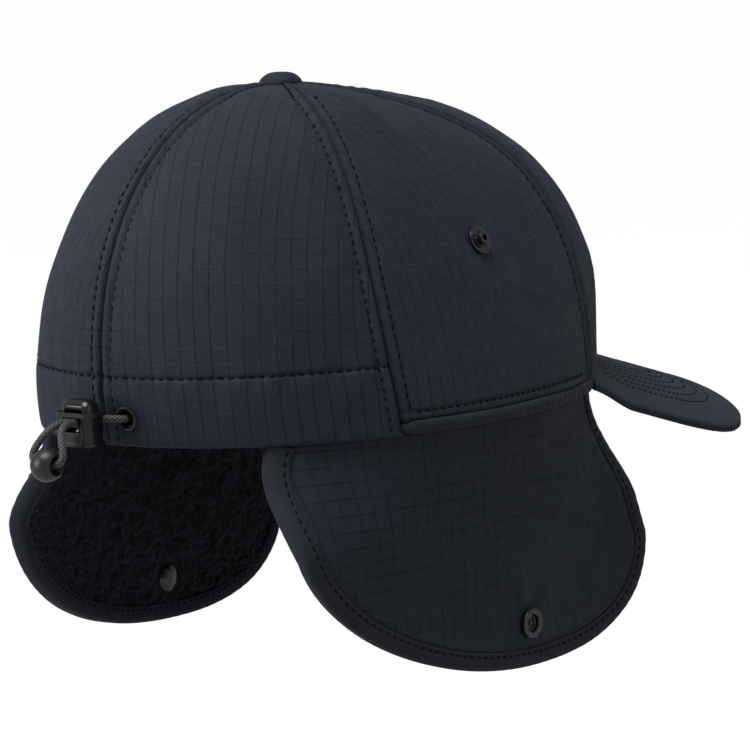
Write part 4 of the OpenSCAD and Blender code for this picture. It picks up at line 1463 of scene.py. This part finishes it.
def lockBarrel():
    y, low, high = lock["y"], lock["low"], lock["high"]
    size = (lock["wide"], lock["deep"], high - low)
    body = roundedBlock("lockBody", size, (0, y, (low + high) / 2), 0.0026)
    for out, tall, z in ((lock["collarOut"], lock["collarTall"], high - lock["collarTall"] / 2),
                         (lock["lipOut"], 0.001, low + 0.0005)):
        size = (lock["wide"] + 2 * out, lock["deep"] + 2 * out * 0.6, tall)
        ring = roundedBlock("ring", size, (0, y, z), 0.003)
        combine(body, ring, "UNION")
    wellSize = (lock["buttonWide"] + lock["play"], lock["buttonDeep"] + lock["play"], high - low)
    well = roundedBlock("well", wellSize, (0, y, (low + high) / 2 + 0.0012), 0.0024)
    combine(body, well, "DIFFERENCE")
    window = freshCube("window", (2 * lock["windowHalf"], 0.03, lock["windowHigh"] - lock["windowLow"]),
                       (0, y, (lock["windowLow"] + lock["windowHigh"]) / 2))
    combine(body, window, "DIFFERENCE")
    soften(body, 0.00042, 4)
    return body


def lockButton():
    y = lock["y"]
    low, high = lock["buttonLow"], lock["buttonHigh"]
    head = roundedBlock("lockButton", (lock["buttonWide"], lock["buttonDeep"], high - low),
                        (0, y, (low + high) / 2), 0.0024)
    soften(head, 0.0017, 7, 50)
    for v in head.data.vertices:                       # a gently domed top
        share = smoothStep((v.co.z - 0.0135) / 0.003)
        reach = (v.co.x / 0.0053) ** 2 + ((v.co.y - y) / 0.0035) ** 2
        v.co.z -= 0.0009 * share * min(1.5, reach)
    window = freshCube("slot", (2 * lock["windowHalf"], 0.03, lock["slotHigh"] - lock["slotLow"]),
                       (0, y, (lock["slotLow"] + lock["slotHigh"]) / 2))
    combine(head, window, "DIFFERENCE")
    return head


snap = {
    "flange": 0.0048, "flangeTall": 0.0009, "dish": 0.0031, "post": 0.0024, "neck": 0.0019,
    "postTall": 0.0019, "hole": 0.0011, "hex": 0.0032, "ringTall": 0.0019, "boss": 0.0008, "floor": 0.0002,
}


def standOn(obj, place, axis):
    onlyActive(obj)
    turn = Vector(axis).to_track_quat("Z", "Y").to_matrix().to_4x4()
    obj.matrix_world = Matrix.Translation(place) @ turn
    bpy.ops.object.transform_apply(location=True, rotation=True, scale=True)


def studModel(name):
    body = freshDisc(name, snap["flange"], snap["flangeTall"], (0, 0, snap["flangeTall"] / 2))
    dish = freshDisc("dish", snap["dish"], 0.001, (0, 0, snap["flangeTall"] + 0.0001))
    combine(body, dish, "DIFFERENCE")
    tall = snap["flangeTall"] + snap["postTall"]
    post = freshDisc("post", snap["neck"], tall - 0.0004, (0, 0, tall / 2 - 0.0001))
    combine(body, post, "UNION")
    head = freshDisc("head", snap["post"], 0.0009, (0, 0, tall - 0.00045))
    combine(body, head, "UNION")
    bore = freshDisc("bore", snap["hole"], 0.004, (0, 0, tall))
    combine(body, bore, "DIFFERENCE")
    soften(body, 0.0003, 4)
    return body


def socketModel(name):
    body = freshDisc(name, snap["flange"], snap["ringTall"], (0, 0, snap["ringTall"] / 2))
    well = freshDisc("well", snap["hex"], 0.003, (0, 0, snap["floor"] + 0.0015), sides=6)
    combine(body, well, "DIFFERENCE")
    boss = freshDisc("boss", snap["boss"], 0.001, (0, 0, 0.0005))
    combine(body, boss, "UNION")
    soften(body, 0.00055, 5)
    return body


def placeSnap(model, node, body, turn):
    low, high = (Vector(c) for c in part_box(node))
    centre = (low + high) / 2
    axis = Vector(turn)
    obj = model(node + "Fine")
    corners = np.array([nodes[node].matrix_world @ v.co for v in nodes[node].data.vertices])
    tall = max(v.co.z for v in obj.data.vertices)
    foot = float((corners @ np.array(axis)).max() - centre.dot(axis)) - tall
    standOn(obj, centre + axis * foot, axis)
    obj.data.materials.clear()
    obj.data.materials.append(snapMetal)
    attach(obj, body)
    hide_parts(node)


studNormal = [-0.9112, -0.0250, 0.4112]
for side, word in ((1, "right"), (-1, "left")):
    studAxis = mirrorIf(studNormal, side)
    socketAxis = mirrorIf(flapNormal(np.array(snapPlace[1]), np.array(snapPlace[2])), side)
    placeSnap(studModel, f"crown_stud_{word}", "crown", studAxis)
    placeSnap(socketModel, f"flap_socket_{word}", f"{word}_flap", socketAxis)
print("snaps made")


spring = {"low": 0.0034, "high": 0.00682, "turns": 3.5, "radius": 0.0019, "wire": 0.00025, "foot": 0.0031}


def lockSpring():
    turn = np.linspace(0, spring["turns"] * tau, 150)
    rise = spring["low"] + (spring["high"] - spring["low"]) * turn / turn[-1]
    coil = np.stack([spring["radius"] * np.cos(turn), lock["y"] + spring["radius"] * np.sin(turn), rise], -1)
    obj = sweepMesh("lockSpringCoil", coil, ringSection(spring["wire"], 10), wireSteel, (0, 0, 1))
    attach(obj, "cord_lock")
    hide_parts("lock_spring")
    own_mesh(obj)
    return obj


coilSpring = lockSpring()
barrel, plunger = lockBarrel(), lockButton()
for obj, node, body in ((barrel, "lock_barrel", "cord_lock"), (plunger, "lock_plunger", "lock_button")):
    obj.data.materials.clear()
    obj.data.materials.append(lockPlastic)
    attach(obj, body)
    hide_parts(node)
print("cord lock made")


def giveFinish(mat, *names):
    for name in names:
        obj = nodes[name]
        obj.data.materials.clear()
        obj.data.materials.append(mat)


def both(*names):
    return [f"{n}_{word}" for n in names for word in ("right", "left")]


giveFinish(snapMetal, "button_rivet", *both("stud_washer", "cord_eyelet", "flap_cap"))
giveFinish(beadPlastic, "cord_bead")
giveFinish(felt, "front_stiffener", *both("flap_wadding"))
giveFinish(visorUnderCloth, "casing_facing", *both("cord_anchor"))
giveFinish(cordCloth, *both("casing_cord"))
print("finishes given")
